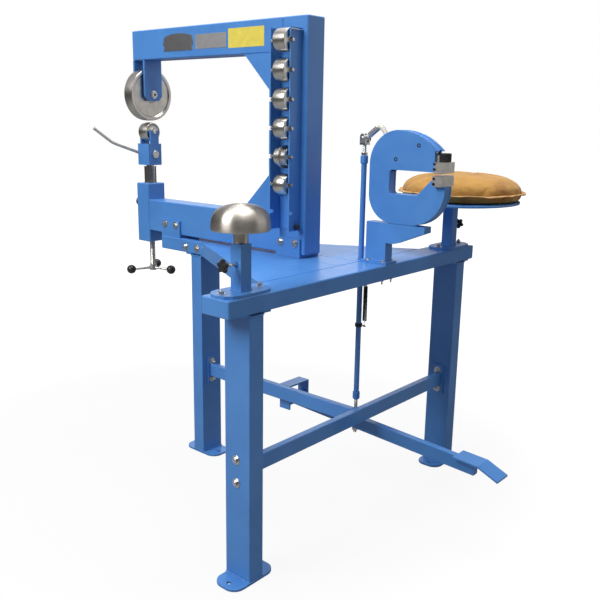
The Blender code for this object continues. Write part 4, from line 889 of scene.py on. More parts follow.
class STATION_OT_knobs(bpy.types.Operator):
    """Mould the lobed hand knobs with their studs and the quill's locking knob"""

    bl_idname = "station.knobs"
    bl_label = "Hand knobs"

    def execute(self, context):
        self.lobed("dolly", "-x", -1, low("dolly_knob").x)
        self.lobed("bag", "x", 1, high("bag_knob").x)
        face = high("quill_housing").y
        length = high("quill_lock_knob").y - face
        steps = [(0, 0), (0.0135, 0), (0.0175, -0.004), (0.0180, -0.008), (0.0150, -0.014),
                 (0.0110, -0.022), (0.0098, -0.0225), (0, -0.0225)]
        place = (0, face, 1.0)
        turned("quill_lock_moulded", lifted(steps, length), "y", place, "knob_black", "lock_body",
               "quill_lock_knob")
        shape = bmesh.new()
        threaded(shape, 0.0048, 0.0006, 0.0, length - 0.022, 18)
        fit("quill_lock_stud", shape, "plated_steel", "lock_body", at(place, "y"))
        return {"FINISHED"}

    def lobed(self, tag, facing, side, tip):
        """A five lobed knob, its stud and the nut welded to the socket."""
        socket = middle(tag + "_socket")
        post = socket.x + side * 0.020
        layers = [(0.62, 0.0), (0.90, 0.0012), (1.0, 0.0040), (1.0, 0.0100), (0.90, 0.0128), (0.66, 0.0140)]
        angles = [TURN * i / 60 for i in range(60)]
        lobes = [0.0128 + 0.0070 * ((1 + math.cos(5 * angle)) / 2) ** 0.7 for angle in angles]
        shape = bmesh.new()
        rings = []
        for share, z in layers:
            rings.append(ring(shape, [(*polar(reach * share, a), z) for reach, a in zip(lobes, angles)]))
        skin(shape, rings, caps=True)
        wide, foot = 0.0092, -0.0060
        collar = [(0, 0.0002), (wide, 0.0002), (wide, -0.0050), (0.0075, foot), (0, foot)]
        lathe(shape, collar, 32)
        matrix = at((tip - side * 0.0142, socket.y, KNOB_LEVEL), facing)
        body = tag + "_knob_body"
        fit(tag + "_knob_moulded", shape, "knob_black", body, matrix, replaces=tag + "_knob")
        length = abs(tip - side * 0.0200 - post)
        matrix = at((post, socket.y, KNOB_LEVEL), facing)
        shape = bmesh.new()
        threaded(shape, 0.0039, 0.0005, -0.003, length, 16)
        add_hex(shape, sizes().nut, length - 0.0150, length - 0.0095, 0.3)
        fit(tag + "_knob_stud", shape, "plated_steel", body, matrix, angle=28)
        bore, corner, front, back = 0.0046, 0.0088, 0.0052, 0.0004
        nut = [(bore, front), (0.0082, front), (corner, 0.0044), (corner, back), (bore, back), (bore, front)]
        shape = lathe(bmesh.new(), nut, 6, Matrix.Rotation(0.3, 4, "Z"))
        fit(tag + "_weld_nut", shape, "blue_enamel", matrix=matrix)


def brow_centre():
    """Middle of the wide arc over the shrinker head, in world Y and Z."""
    last = high("shrinker_plate_near")
    return last.y - HEAD_REAR, last.z - HEAD_BROW


def brow_arc(radius, end_z, steps):
    """The wide arc from the top of the head down to a height in front."""
    centre = brow_centre()
    stop = math.pi - math.asin((end_z - centre[1]) / radius)
    return arc(centre, radius, QUARTER, stop, steps)


def head_outline(inset=0.0):
    """Side outline of the shrinker head, in world Y and Z."""
    first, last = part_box("shrinker_plate_near")
    rear, front = last.y - inset, first.y + inset
    bottom, top = first.z + inset, last.z - inset
    high_rear, low_rear, chin = HEAD_REAR - inset, 0.095 - inset, 0.125 - inset
    nose_y, nose_z = -0.970 + inset, 1.258 - inset
    roof, floor, ledge = 1.194 + inset, 1.118 - inset, 1.152 - inset
    corner = 0.010
    corner_y = THROAT_BACK + inset - corner
    points = arc((rear - low_rear, bottom + low_rear), low_rear, -QUARTER, 0, 28)
    points += arc((rear - high_rear, top - high_rear), high_rear, 0, QUARTER, 28)
    points += brow_arc(HEAD_BROW - inset, nose_z, 24)[1:]
    points += [(nose_y, nose_z), (nose_y, roof)]
    points += arc((corner_y, roof - corner), corner, QUARTER, 0, 6)
    points += arc((corner_y, floor + corner), corner, 0, -QUARTER, 6)
    points += [(-0.910, floor), (-0.972, 1.180 - inset), (-0.976, ledge), (front, ledge)]
    points += arc((front + chin, bottom + chin), chin, math.pi, 3 * QUARTER, 28)
    return points


class STATION_OT_shrinker(bpy.types.Operator):
    """Smooth the shrinker's side plates and core, and add its screws and knob"""

    bl_idname = "station.shrinker"
    bl_label = "Shrinker head"

    def execute(self, context):
        for tag in ("near", "far"):
            name = "shrinker_plate_" + tag
            prism("shrinker_cheek_" + tag, head_outline(), low(name).x, high(name).x, "blue_enamel",
                  replaces=name, edge=0.0011)
        self.core_and_cover()
        self.pivots()
        for jaw, body, levels in (("upper_jaw", "jaw_body", (1.2050, 1.2210)),
                                  ("lower_jaw", "stand_body", (1.1600, 1.1765))):
            screws = bmesh.new()
            for z in levels:
                for x, facing in ((low(jaw).x, "-x"), (high(jaw).x, "x")):
                    socket_screw(screws, at((x, low(jaw).y + 0.0265, z), facing), 0.0046, 0.0022)
            fit(jaw + "_screws", screws, "knob_black", body, slot="dark")
        self.stroke_knob()
        return {"FINISHED"}

    def pivots(self):
        """A blue enamelled rim at both ends of each pivot, and inside it a flat black disc with a hexagon
        sunk behind it: painted shade that stands in for the dark recess.
        """
        near, far = low("shrinker_plate_near").x, high("shrinker_plate_far").x
        face, inner = 0.0003, 0.0066
        rim = [(inner, face), (0.0078, face), (0.0082, 0.0), (inner, 0.0), (inner, face)]
        shade_disc = [(0.0030, face), (0.0067, face), (0.0067, -face), (0.0030, -face), (0.0030, face)]
        rims, shade_discs = bmesh.new(), bmesh.new()
        for y, z in (LEVER_PIVOT, ROCKER_PIVOT):
            for x, facing in ((near, "-x"), (far, "x")):
                place = at((x, y, z), facing)
                lathe(rims, rim, 32, place)
                # Each flat black disc, with its hexagon, is painted shade standing in for the dark recess of
                # the pivot
                lathe(shade_discs, shade_disc, 32, place)
                add_prism(shade_discs, hexagon(0.0062, 0.4), -0.0006, -0.0002, place)
        fit("shrinker_pivot_rims", rims, "blue_enamel")
        # The black discs are painted shade for the pivot recesses
        fit("shrinker_pivot_shade_discs", shade_discs, "knob_black", slot="dark")

    def stroke_knob(self):
        """Black cap with shallow ribs round its side."""
        base = low("stroke_knob").z
        height = high("stroke_knob").z - base
        radius, count, ribbed = 0.0185, 96, (1, 2)
        layers = [(0.90, 0.0), (1.0, 0.0022), (1.0, height - 0.0026), (0.90, height), (0.60, height),
                  (0.57, height - 0.0014)]
        shape = bmesh.new()
        rings = []
        for k, (share, z) in enumerate(layers):
            points = []
            for i in range(count):
                sunk = (i // 2) % 2 and share > 0.7
                depth = 0.035 * (1 if k in ribbed else 0.3) if sunk else 0.0
                points.append((*polar(radius * share * (1.0 - depth), TURN * i / count), z))
            rings.append(ring(shape, points))
        skin(shape, rings, caps=True)
        place = at((*middle("stroke_knob").xy, base))
        fit("stroke_knob_knurled", shape, "knob_black", "stroke_knob_body", place, replaces="stroke_knob",
            angle=20)

    def core_and_cover(self):
        """The plate between the cheeks and the strip over the moving parts."""
        first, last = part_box("shrinker_core")
        inset, thick, recess = 0.0012, 0.0035, 0.0050
        kept = [place for place in head_outline(inset) if place[1] < last.z]
        rise = [place for place in kept if place[0] > last.y - inset - 0.0001]
        cut = kept.index(rise[-1]) + 1
        kept[cut:cut] = [(last.y - inset, last.z), (THROAT_BACK + inset, last.z)]
        prism("shrinker_core_plate", kept, first.x, last.x, "blue_enamel", replaces="shrinker_core")
        centre = brow_centre()
        outer = HEAD_BROW - recess
        stop = math.pi - math.asin((1.262 - centre[1]) / outer)
        strip = arc(centre, outer, QUARTER, stop, 32) + arc(centre, outer - thick, stop, QUARTER, 32)
        prism("shrinker_cover_strip", strip, first.x, last.x, "blue_enamel", replaces="shrinker_cover")


class STATION_OT_linkage(bpy.types.Operator):
    """Bend the shrinker lever, and thread the pull rod with its fork and nuts"""

    bl_idname = "station.linkage"
    bl_label = "Lever and pull rod"

    def execute(self, context):
        x = middle("pull_rod").x
        self.lever(x)
        self.rod(x)
        self.fork(x)
        self.clamp(x)
        return {"FINISHED"}

    def lever(self, x):
        """The forged ends with their pins, the bent bar and its sleeve."""
        pivot_y, pivot_z = LEVER_PIVOT
        pivot, eye = at((x, *LEVER_PIVOT), "x"), at((x, *FORK_PIN), "x")
        half_boss, half_nose = 0.006, 0.0058
        shape = bmesh.new()
        lathe(shape, pin(0.0130, -half_boss, half_boss, 0.0012), 40, pivot)
        lathe(shape, pin(0.0060, -0.0190, 0.0190, 0.0002, 0.0004), 32, pivot)
        nose = [(pivot_y + 0.004, pivot_z - 0.0105), (-0.868, 1.2335), (-0.8728, 1.2350), (-0.8758, 1.2385),
                (-0.8758, 1.2425), (-0.8728, 1.2460), (-0.868, 1.2468), (pivot_y + 0.002, pivot_z + 0.0118)]
        add_prism(shape, nose, x - half_nose, x + half_nose, SIDE_ON)
        lathe(shape, pin(0.0100, -half_boss, half_boss, 0.001), 36, eye)
        lathe(shape, pin(0.0040, -0.0130, 0.0130, 0.0002, 0.0004), 24, eye)
        fit("shrink_lever_forged", shape, "plated_steel", "lever_body", replaces="shrink_lever")
        path = [Vector((x, *place)) for place in (LEVER_PIVOT, (-0.774, 1.302), (-0.750, 1.3328), FORK_PIN)]
        bar("shrink_lever_bar", bent_path(path, 0.013), 0.0078, "lever_steel", "lever_body")
        along = path[3] - path[2]
        sleeve = pin(0.0098, along.length * 0.16, along.length * 0.74, 0.0013, 0.0016)
        matrix = at(path[2]) @ along.to_track_quat("Z", "X").to_matrix().to_4x4()
        fit("shrink_lever_sleeve", lathe(bmesh.new(), sleeve, 32), "ground_steel", "lever_body", matrix,
            slot="zinc")

    def rod(self, x):
        """The tube with its swaged ends, the threads and the nuts."""
        tube_top, tube_bottom = 1.2340, 0.3740
        plain, shoulder, upper, lower = 0.0094, 0.0105, 0.0128, 0.0126
        tube = [(0, tube_top), (shoulder, tube_top), (upper, 1.2310), (upper, 1.2090), (shoulder, 1.2060),
                (plain, 1.2055), (plain, 0.4025), (shoulder, 0.4020), (lower, 0.3995), (lower, 0.3765),
                (0.0100, tube_bottom), (0, tube_bottom)]
        turned("pull_rod_tube", tube, "z", (x, ROD_Y, 0), "blue_enamel", "rod_body", "pull_rod")
        across, overlap = 0.0185, 0.0010
        # One nut stands below and one above the sloping pedal lever
        slope, hinge_level, span, half_depth = 0.0541, 0.303, 0.2705, 0.022
        lever_low = hinge_level - span * math.tan(slope) - half_depth / math.cos(slope)
        lever_high = lever_low + 2 * half_depth / math.cos(slope)
        shape = bmesh.new()
        for bottom, top in ((tube_top - overlap, 1.2690), (low("pull_rod").z, tube_bottom + overlap)):
            threaded(shape, 0.0064, 0.0007, bottom, top, 20)
        for bottom, top, turn in ((lever_low - 0.0120, lever_low - 0.0022, 0.2),
                                  (lever_high + 0.0022, lever_high + 0.0118, 0.5),
                                  (tube_top + overlap, 1.2435, 0.1)):
            add_hex(shape, across, bottom, top, turn)
        place = at((x, ROD_Y, 0))
        fit("pull_rod_threads", shape, "plated_steel", "rod_body", place, angle=28)

    def fork(self, x):
        """Two forged cheeks on a block, with the bolt through the lever's eye."""
        half, inner, outer, across = 0.0118, 0.0069, 0.0134, 0.0125
        base, eye, shoulder = 1.2690, 1.2940, 1.2960
        rim = [(ROD_Y - half, base), (ROD_Y + half, base), (ROD_Y + half, shoulder)]
        rim += arc((ROD_Y, eye), half, 0, math.pi, 12)[1:-1] + [(ROD_Y - half, shoulder)]
        bolt = bmesh.new()
        for side, tag, facing in ((-1, "near", "-x"), (1, "far", "x")):
            shape = bmesh.new()
            add_prism(shape, rim, *sorted((x + side * inner, x + side * outer)), SIDE_ON)
            fit("fork_cheek_" + tag, shape, "plated_steel", "rod_body", edge=0.0008)
            matrix = at((x + side * outer, *FORK_PIN), facing)
            if side < 0:
                bolt_head(bolt, matrix, across, 0.3)
            else:
                nut_and_stud(bolt, matrix, across, 0.3, 0.3)
        block("fork_block", (x - outer, ROD_Y - half, 1.2680), (x + outer, ROD_Y + half, 1.2740),
              "plated_steel", "rod_body", 0.0012)
        fit("fork_bolt", bolt, "plated_steel", "lever_body", angle=28)

    def clamp(self, x):
        """The band on the rod that the spring hooks into."""
        place = (x, ROD_Y, CLAMP_LEVEL)
        bore, trimmed, radius, side, rim = 0.0098, 0.0124, 0.0130, 0.0062, 0.0055
        band = mirrored([(bore, side), (trimmed, side), (radius, rim)]) + [(bore, side)]
        turned("spring_clamp_band", band, "z", place, "spring_black", "rod_body", None, 40)
        tip, stem, collar, root, ledge = 0.0298, 0.0025, 0.0046, 0.0095, 0.012
        stud = [(0, tip), (0.0022, tip), (stem, 0.0293), (stem, ledge), (collar, ledge), (collar, root),
                (0, root)]
        turned("spring_clamp_pin", stud, "-y", place, "plated_steel", "rod_body", None, 24)


class STATION_OT_spring(bpy.types.Operator):
    """Wind the return spring with its two hooks"""

    bl_idname = "station.spring"
    bl_label = "Return spring"

    def execute(self, context):
        x, y, top_pin = POST_X, -0.712, 0.822
        coil_top, coil_bottom = 0.792, 0.668
        radius, hook, turns, steps = 0.0066, 0.0038, 52, 20
        near, far = x + radius * 0.5, x - hook * 0.2

        def hooked(level, start):
            first = math.radians(start)
            return [(a, y, b) for a, b in arc((x, level), hook, first, first + math.radians(260), 12)]

        points = hooked(top_pin, -40)
        points += [(far, y, coil_top + 0.0066), (near, y, coil_top + 0.0026)]
        total = turns * steps
        for i in range(total + 1):
            a, b = polar(radius, TURN * i / steps)
            points.append((x + a, y + b, coil_top + (coil_bottom - coil_top) * i / total))
        points += [(near, y, coil_bottom - 0.0026), (far, y, coil_bottom - 0.0066)]
        points += hooked(CLAMP_LEVEL, 140)
        bar("return_spring_wound", points, 0.0010, "spring_black", resolution=1, replaces="return_spring")
        return {"FINISHED"}


class STATION_OT_dolly(bpy.types.Operator):
    """Turn the mushroom dolly"""

    bl_idname = "station.dolly"
    bl_label = "Mushroom dolly"

    def execute(self, context):
        first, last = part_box("mushroom_dolly")
        radius, neck, stem = 0.0820, 0.0208, 0.0154
        rim, top, base = 1.068, last.z + 0.005, 1.0203
        profile = [(0, top)]
        for k in range(1, 25):
            angle = QUARTER * k / 24
            height = (top - rim) * max(0, math.cos(angle)) ** 0.8
            profile.append((radius * math.sin(angle) ** 0.8, rim + height))
        profile += [(radius, rim - 0.009), (radius - 0.0012, rim - 0.0115), (radius - 0.004, rim - 0.0118),
                    (0.030, 1.0535), (0.0225, 1.0520), (neck, 1.0500), (neck, base + 0.002),
                    (0.0192, base), (stem, base), (stem, first.z + 0.002), (0.0136, first.z), (0, first.z)]
        place = (*middle("mushroom_dolly").xy, 0)
        turned("mushroom_dolly_turned", profile, "z", place, "dolly_steel", "dolly_body",
               "mushroom_dolly", 96)
        return {"FINISHED"}


class STATION_OT_tray(bpy.types.Operator):
    """Spin the bag tray with its rolled rim and stem"""

    bl_idname = "station.tray"
    bl_label = "Bag tray"

    def execute(self, context):
        first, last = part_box("bag_tray")
        radius, top = (last.x - first.x) / 2, last.z
        rim = [(-0.004, 0), (-0.0012, -0.0010), (0, -0.0036), (0, -0.0072), (-0.0010, -0.0080),
               (-0.0030, -0.0080), (-0.0040, -0.0072), (-0.0040, -0.0052), (-0.0055, -0.0042)]
        foot, stem, shoulder = 1.0465, 0.0154, 0.0240
        profile = [(0, top)] + [(radius + a, top + b) for a, b in rim]
        profile += [(0.0270, top - 0.0042), (shoulder, top - 0.0060), (shoulder, 1.0490), (0.0225, foot),
                    (stem, foot), (stem, first.z + 0.001), (0.0144, first.z), (0, first.z)]
        place = (*middle("bag_tray").xy, 0)
        turned("bag_tray_spun", profile, "z", place, "blue_enamel", "tray_body", "bag_tray", 128)
        return {"FINISHED"}


def seam_height(angle):
    broad = 0.0016 * math.sin(7 * angle + 0.6) + 0.0011 * math.sin(13 * angle + 1.9)
    return broad + 0.0007 * math.sin(29 * angle)


def seam_reach(angle):
    return 0.0014 * math.sin(9 * angle) + 0.0010 * math.sin(17 * angle + 0.8)


class STATION_OT_sand_bag(bpy.types.Operator):
    """Fill the leather sand bag by cloth simulation, then sew its seam"""

    bl_idname = "station.sand_bag"
    bl_label = "Sand bag"

    def execute(self, context):
        first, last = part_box("sand_bag")
        centre = Vector((*middle("sand_bag").xy, first.z))
        radius = (last.x - first.x) / 2 * 1.045
        height = last.z - first.z
        seam = height * 0.29
        crown, side = height * 0.93, radius * BAG_SIDE
        profile = [(0, crown)]
        for k in range(1, 15):
            angle = QUARTER * k / 15
            rise = (crown - seam) * math.cos(angle) ** 0.72
            profile.append((side * math.sin(angle) ** 0.92, seam + rise))
        profile += [(side, seam), (radius * 0.948, seam * 0.66), (radius * 0.935, seam * 0.34),
                    (radius * 0.89, 0.0030), (radius * 0.70, 0.0014), (0, 0.0012)]
        bag = mesh_piece("sand_bag_leather", lathe(bmesh.new(), profile, 96), at(centre))
        self.fill(context, bag)
        self.dress(bag, radius, height, seam)
        settle(bag, "suede_leather", "tray_body", "sand_bag", angle=180)
        soft = bag.modifiers.new("Smooth skin", "SUBSURF")
        soft.levels = soft.render_levels = 1
        self.lip(centre, radius, seam)
        self.stitches(centre, radius, seam)
        return {"FINISHED"}

    def fill(self, context, bag):
        """Pressure from the sand, with the travel of each point capped."""
        context.view_layer.objects.active = bag
        size = 0.006
        remesh = bag.modifiers.new("Even faces", "REMESH")
        remesh.mode = "VOXEL"
        remesh.voxel_size = size
        bpy.ops.object.modifier_apply(modifier=remesh.name)
        rest = [v.co.copy() for v in bag.data.vertices]
        group = bag.vertex_groups.new(name="held")
        for vert in bag.data.vertices:
            if vert.co.z < size:
                group.add([vert.index], 1.0, "REPLACE")
        cloth = bag.modifiers.new("Leather skin", "CLOTH")
        skin_values = {"quality": 5, "mass": 0.6, "tension_stiffness": 18, "compression_stiffness": 18,
                       "shear_stiffness": 8, "bending_stiffness": 3.0, "use_pressure": True,
                       "uniform_pressure_force": 3.2, "vertex_group_mass": "held"}
        for key, value in skin_values.items():
            setattr(cloth.settings, key, value)
        cloth.settings.effector_weights.gravity = 0
        for number in range(1, 19):
            context.scene.frame_set(number)
        graph = context.evaluated_depsgraph_get()
        moved = bag.evaluated_get(graph).to_mesh()
        places = [v.co.copy() for v in moved.vertices]
        bag.evaluated_get(graph).to_mesh_clear()
        bag.modifiers.remove(cloth)
        context.scene.frame_set(1)
        cap = 0.010
        for vert, before, after in zip(bag.data.vertices, rest, places):
            step = after - before
            if step.length > cap:
                step *= cap / step.length
            vert.co = before + step

    def dress(self, bag, radius, height, seam):
        """Slack and creases that the sand leaves in the skin."""
        start_x, start_y, way_x, way_y, length = -0.0592, -0.0406, 0.9879, 0.1554, 0.1978
        for vert in bag.data.vertices:
            x, y, z = vert.co
            angle = math.atan2(y, x)
            share = math.hypot(x, y) / radius
            if z > seam:
                over = (z - seam) / (height - seam)
                along = ((x - start_x) * way_x + (y - start_y) * way_y) / length
                aside = (x - start_x) * way_y - (y - start_y) * way_x
                fade = max(0.0, 1 - abs(2 * along - 1) ** 4) if 0 < along < 1 else 0.0
                vert.co.z -= 0.0042 * math.exp(-(aside / 0.0060) ** 2) * fade
                vert.co.z += 0.0026 * math.exp(-((aside - 0.011) / 0.0070) ** 2) * fade
                vert.co.z += 0.0026 * math.sin(x * 31 + 1.1) * math.sin(y * 27 + 0.4) * over
                vert.co.z += 0.0012 * math.sin(x * 71 + y * 43) * over
                gathers = 1 + math.cos(23 * angle + 3 * math.sin(5 * angle))
                fold = 0.0022 * max(0.0, 1 - over * 3.2) * gathers * share
            else:
                fold = 0.0026 * (1 + math.cos(21 * angle + 2 * math.sin(4 * angle))) * min(1, z / seam)
            vert.co.x -= math.cos(angle) * fold
            vert.co.y -= math.sin(angle) * fold
            vert.co.z = min(max(vert.co.z, 0.0006), height + 0.002)
            limit = radius * BAG_LIMIT
            reach = math.hypot(vert.co.x, vert.co.y)
            if reach > limit:
                vert.co.x *= limit / reach
                vert.co.y *= limit / reach

    def lip(self, centre, radius, seam):
        """Two leather edges sewn together, standing out round the bag."""
        count, inner = 240, radius * BAG_SIDE
        edge = [(-0.0060, 0.0026), (0.3, 0.0024), (0.92, 0.0022), (1.0, 0.0010)]
        shape = bmesh.new()
        rings = []
        for i in range(count):
            angle = TURN * i / count
            ear = math.exp(-((angle - 5.55) / 0.035) ** 2) * 0.006
            far = radius * BAG_LIMIT + sizes().seam * 0.35 + seam_reach(angle) + ear
            points = []
            for share, z in mirrored(edge):
                reach = inner + (far - inner) * (share if share > 0 else share * 8)
                tilt = seam_height(angle) * (0.4 + 0.6 * max(0, share))
                points.append((*polar(reach, angle), seam + z + tilt))
            rings.append(ring(shape, points))
        skin(shape, rings, closed=True)
        place = at(centre)
        lip = fit("sand_bag_lip", shape, "leather_cut_edge", "tray_body", place, angle=60)

    def stitches(self, centre, radius, seam):
        """Waxed stitches round the top of the lip."""
        stitch = [(0, 0.0030), (0.0006, 0.0024), (0.0007, 0), (0.0006, -0.0024), (0, -0.0030)]
        shape = bmesh.new()
        number = 150
        for i in range(number):
            angle = TURN * (i + 0.5) / number
            height = seam + seam_height(angle) * 0.85 + 0.0022
            place = at((*polar(radius * BAG_LIMIT - 0.0008, angle), height))
            lathe(shape, stitch, 8, place @ Matrix.Rotation(angle + QUARTER, 4, "Z") @ AXIS_TURN["x"])
        fit("sand_bag_stitches", shape, "waxed_thread", "tray_body", at(centre))


class STATION_OT_fasteners(bpy.types.Operator):
    """Fit the bolts, nuts and washers of the stand, frame and stations"""

    bl_idname = "station.fasteners"
    bl_label = "Fasteners"

    def execute(self, context):
        self.frame_bolts(sizes().bolt)
        across, reach = sizes().nut, 0.074
        tops, under = [], []
        for socket in (middle("dolly_socket"), middle("bag_socket")):
            tops += [((socket.x + shift, socket.y, DECK), "z") for shift in (-reach, reach)]
            # The legs hide the other two heads under the bar
            under.append(((socket.x - reach, socket.y, BAR_UNDERSIDE), "-z"))
        fasteners("station_nuts", tops, nut_and_stud, across + 0.002, 0.4, 1, 0.35)
        self.foot_bolts(0.0095)
        fasteners("station_bolt_heads", under, bolt_head, across, 0.0, 0.4)
        return {"FINISHED"}

    def foot_bolts(self, across):
        """Heads on the foot plate of the shrinker's post and nuts under the bar."""
        feet, studs = [], []
        for y in (-0.796, -0.734):
            for side in (-0.026, 0.026):
                feet.append(((POST_X + side, y, DECK), "z"))
                studs.append(((POST_X + side, y, BAR_UNDERSIDE), "-z"))
        fasteners("shrinker_foot_bolts", feet, bolt_head, across, 0.0, 0.5)
        fasteners("shrinker_foot_studs", studs, nut_and_stud, across, 0.0, 0.8, 1.1)

    def frame_bolts(self, across):
        """Heads on one side and nuts on the other, for the braces, brackets and stem."""
        sunk, brace_y, rear_rise = 0.006, -0.756, 0.004
        left = (low("leg_left").x + high("leg_left").x) / 2 - LEG_NARROW
        right = (low("leg_right").x + high("leg_right").x) / 2 + LEG_NARROW
        cross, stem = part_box("cross_brace"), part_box("stem_brace")
        heads, nuts = [], []
        for z in (0.388, 0.316):
            rear = z + rear_rise
            heads += [((left, brace_y, z), "-x"), ((right, brace_y, z), "x"), ((0.0, LEG_NARROW, rear), "y")]
            nuts += [((cross[0].x + sunk, -0.757, z), "x"), ((cross[1].x - sunk, -0.757, z), "-x"),
                     ((-0.003, stem[1].y - sunk, rear), "-y")]
        through = []
        for name in ("column_bracket", "end_bracket"):
            centre = (low(name).y + high(name).y) / 2
            through += [(name, centre + shift, 0.931) for shift in (-0.033, 0.033)]
        for name, y, z in through + [("table_stem", y, 0.853) for y in (0.056, -0.010)]:
            heads.append(((low(name).x, y, z), "-x"))
            nuts.append(((high(name).x, y, z), "x"))
        fasteners("frame_bolts", heads, bolt_head, across, 0.35, 0.7)
        fasteners("frame_nuts", nuts, nut_and_stud, across, 0.2, 0.9)


class STATION_OT_welds(bpy.types.Operator):
    """Lay the weld beads round the posts, plates and brackets"""

    bl_idname = "station.welds"
    bl_label = "Welds"

    def execute(self, context):
        post = 0.0205
        for name in ("dolly_socket", "bag_socket"):
            weld_loop(name + "_weld", square_loop(middle(name), post, post, WELD_LEVEL))
        gap = 0.0004
        narrow, wide = LEG_NARROW + gap, LEG_WIDE + gap
        for name, halves in (("leg_left", (narrow, wide)), ("leg_right", (narrow, wide)),
                             ("leg_rear", (wide, narrow))):
            for tag, z in (("foot", 0.0090), ("head", high(name).z - 0.0070)):
                weld_loop("%s_%s_weld" % (name, tag), square_loop(middle(name), *halves, z))
        weld_loop("shrinker_post_weld", square_loop((POST_X, -0.760), 0.0204, 0.0404, WELD_LEVEL))
        y, reach, clear = high("frame_column").y + 0.0002, 0.0416, 0.004
        for name in ("upper", "lower"):
            first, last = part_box("frame_%s_arm" % name)
            for side, tag in ((-reach, "left"), (reach, "right")):
                ends = [(side, y, first.z + clear), (side, y, last.z - clear)]
                weld_loop("%s_arm_weld_%s" % (name, tag), ends, False)
        return {"FINISHED"}


class STATION_OT_plates(bpy.types.Operator):
    """Rivet the bare plates to the upper arm"""

    bl_idname = "station.plates"
    bl_label = "Bare plates"

    def execute(self, context):
        arm = low("frame_upper_arm").x
        thick, face = 0.0008, arm - 0.0001
        block("grey_plate", (arm - thick, -0.171, 1.590), (face, -0.008, 1.641), "bare_grey_plate",
              "stand_body", 0.0003)
        block("yellow_plate", (arm - thick / 2, -0.355, 1.586), (face, -0.181, 1.651), "bare_yellow_plate",
              "stand_body", 0.0002)
        shield = [(0.008, 1.588), (0.170, 1.588), (0.166, 1.606), (0.176, 1.609), (0.167, 1.640),
                  (0.130, 1.648), (0.089, 1.651), (0.048, 1.648), (0.011, 1.640), (0.002, 1.609),
                  (0.012, 1.606)]
        prism("shield_plate", shield, arm - 0.0012, face, "bare_steel_plate", edge=0.0004)
        shape = bmesh.new()
        for y in (-0.166, -0.013):
            for z in (1.595, 1.636):
                dome = [(0, 0.0011), (0.0013, 0.0009), (0.0021, 0), (0, 0)]
                lathe(shape, dome, 16, at((arm - thick, y, z), "-x"))
        fit("plate_rivets", shape, "plated_steel")
        return {"FINISHED"}


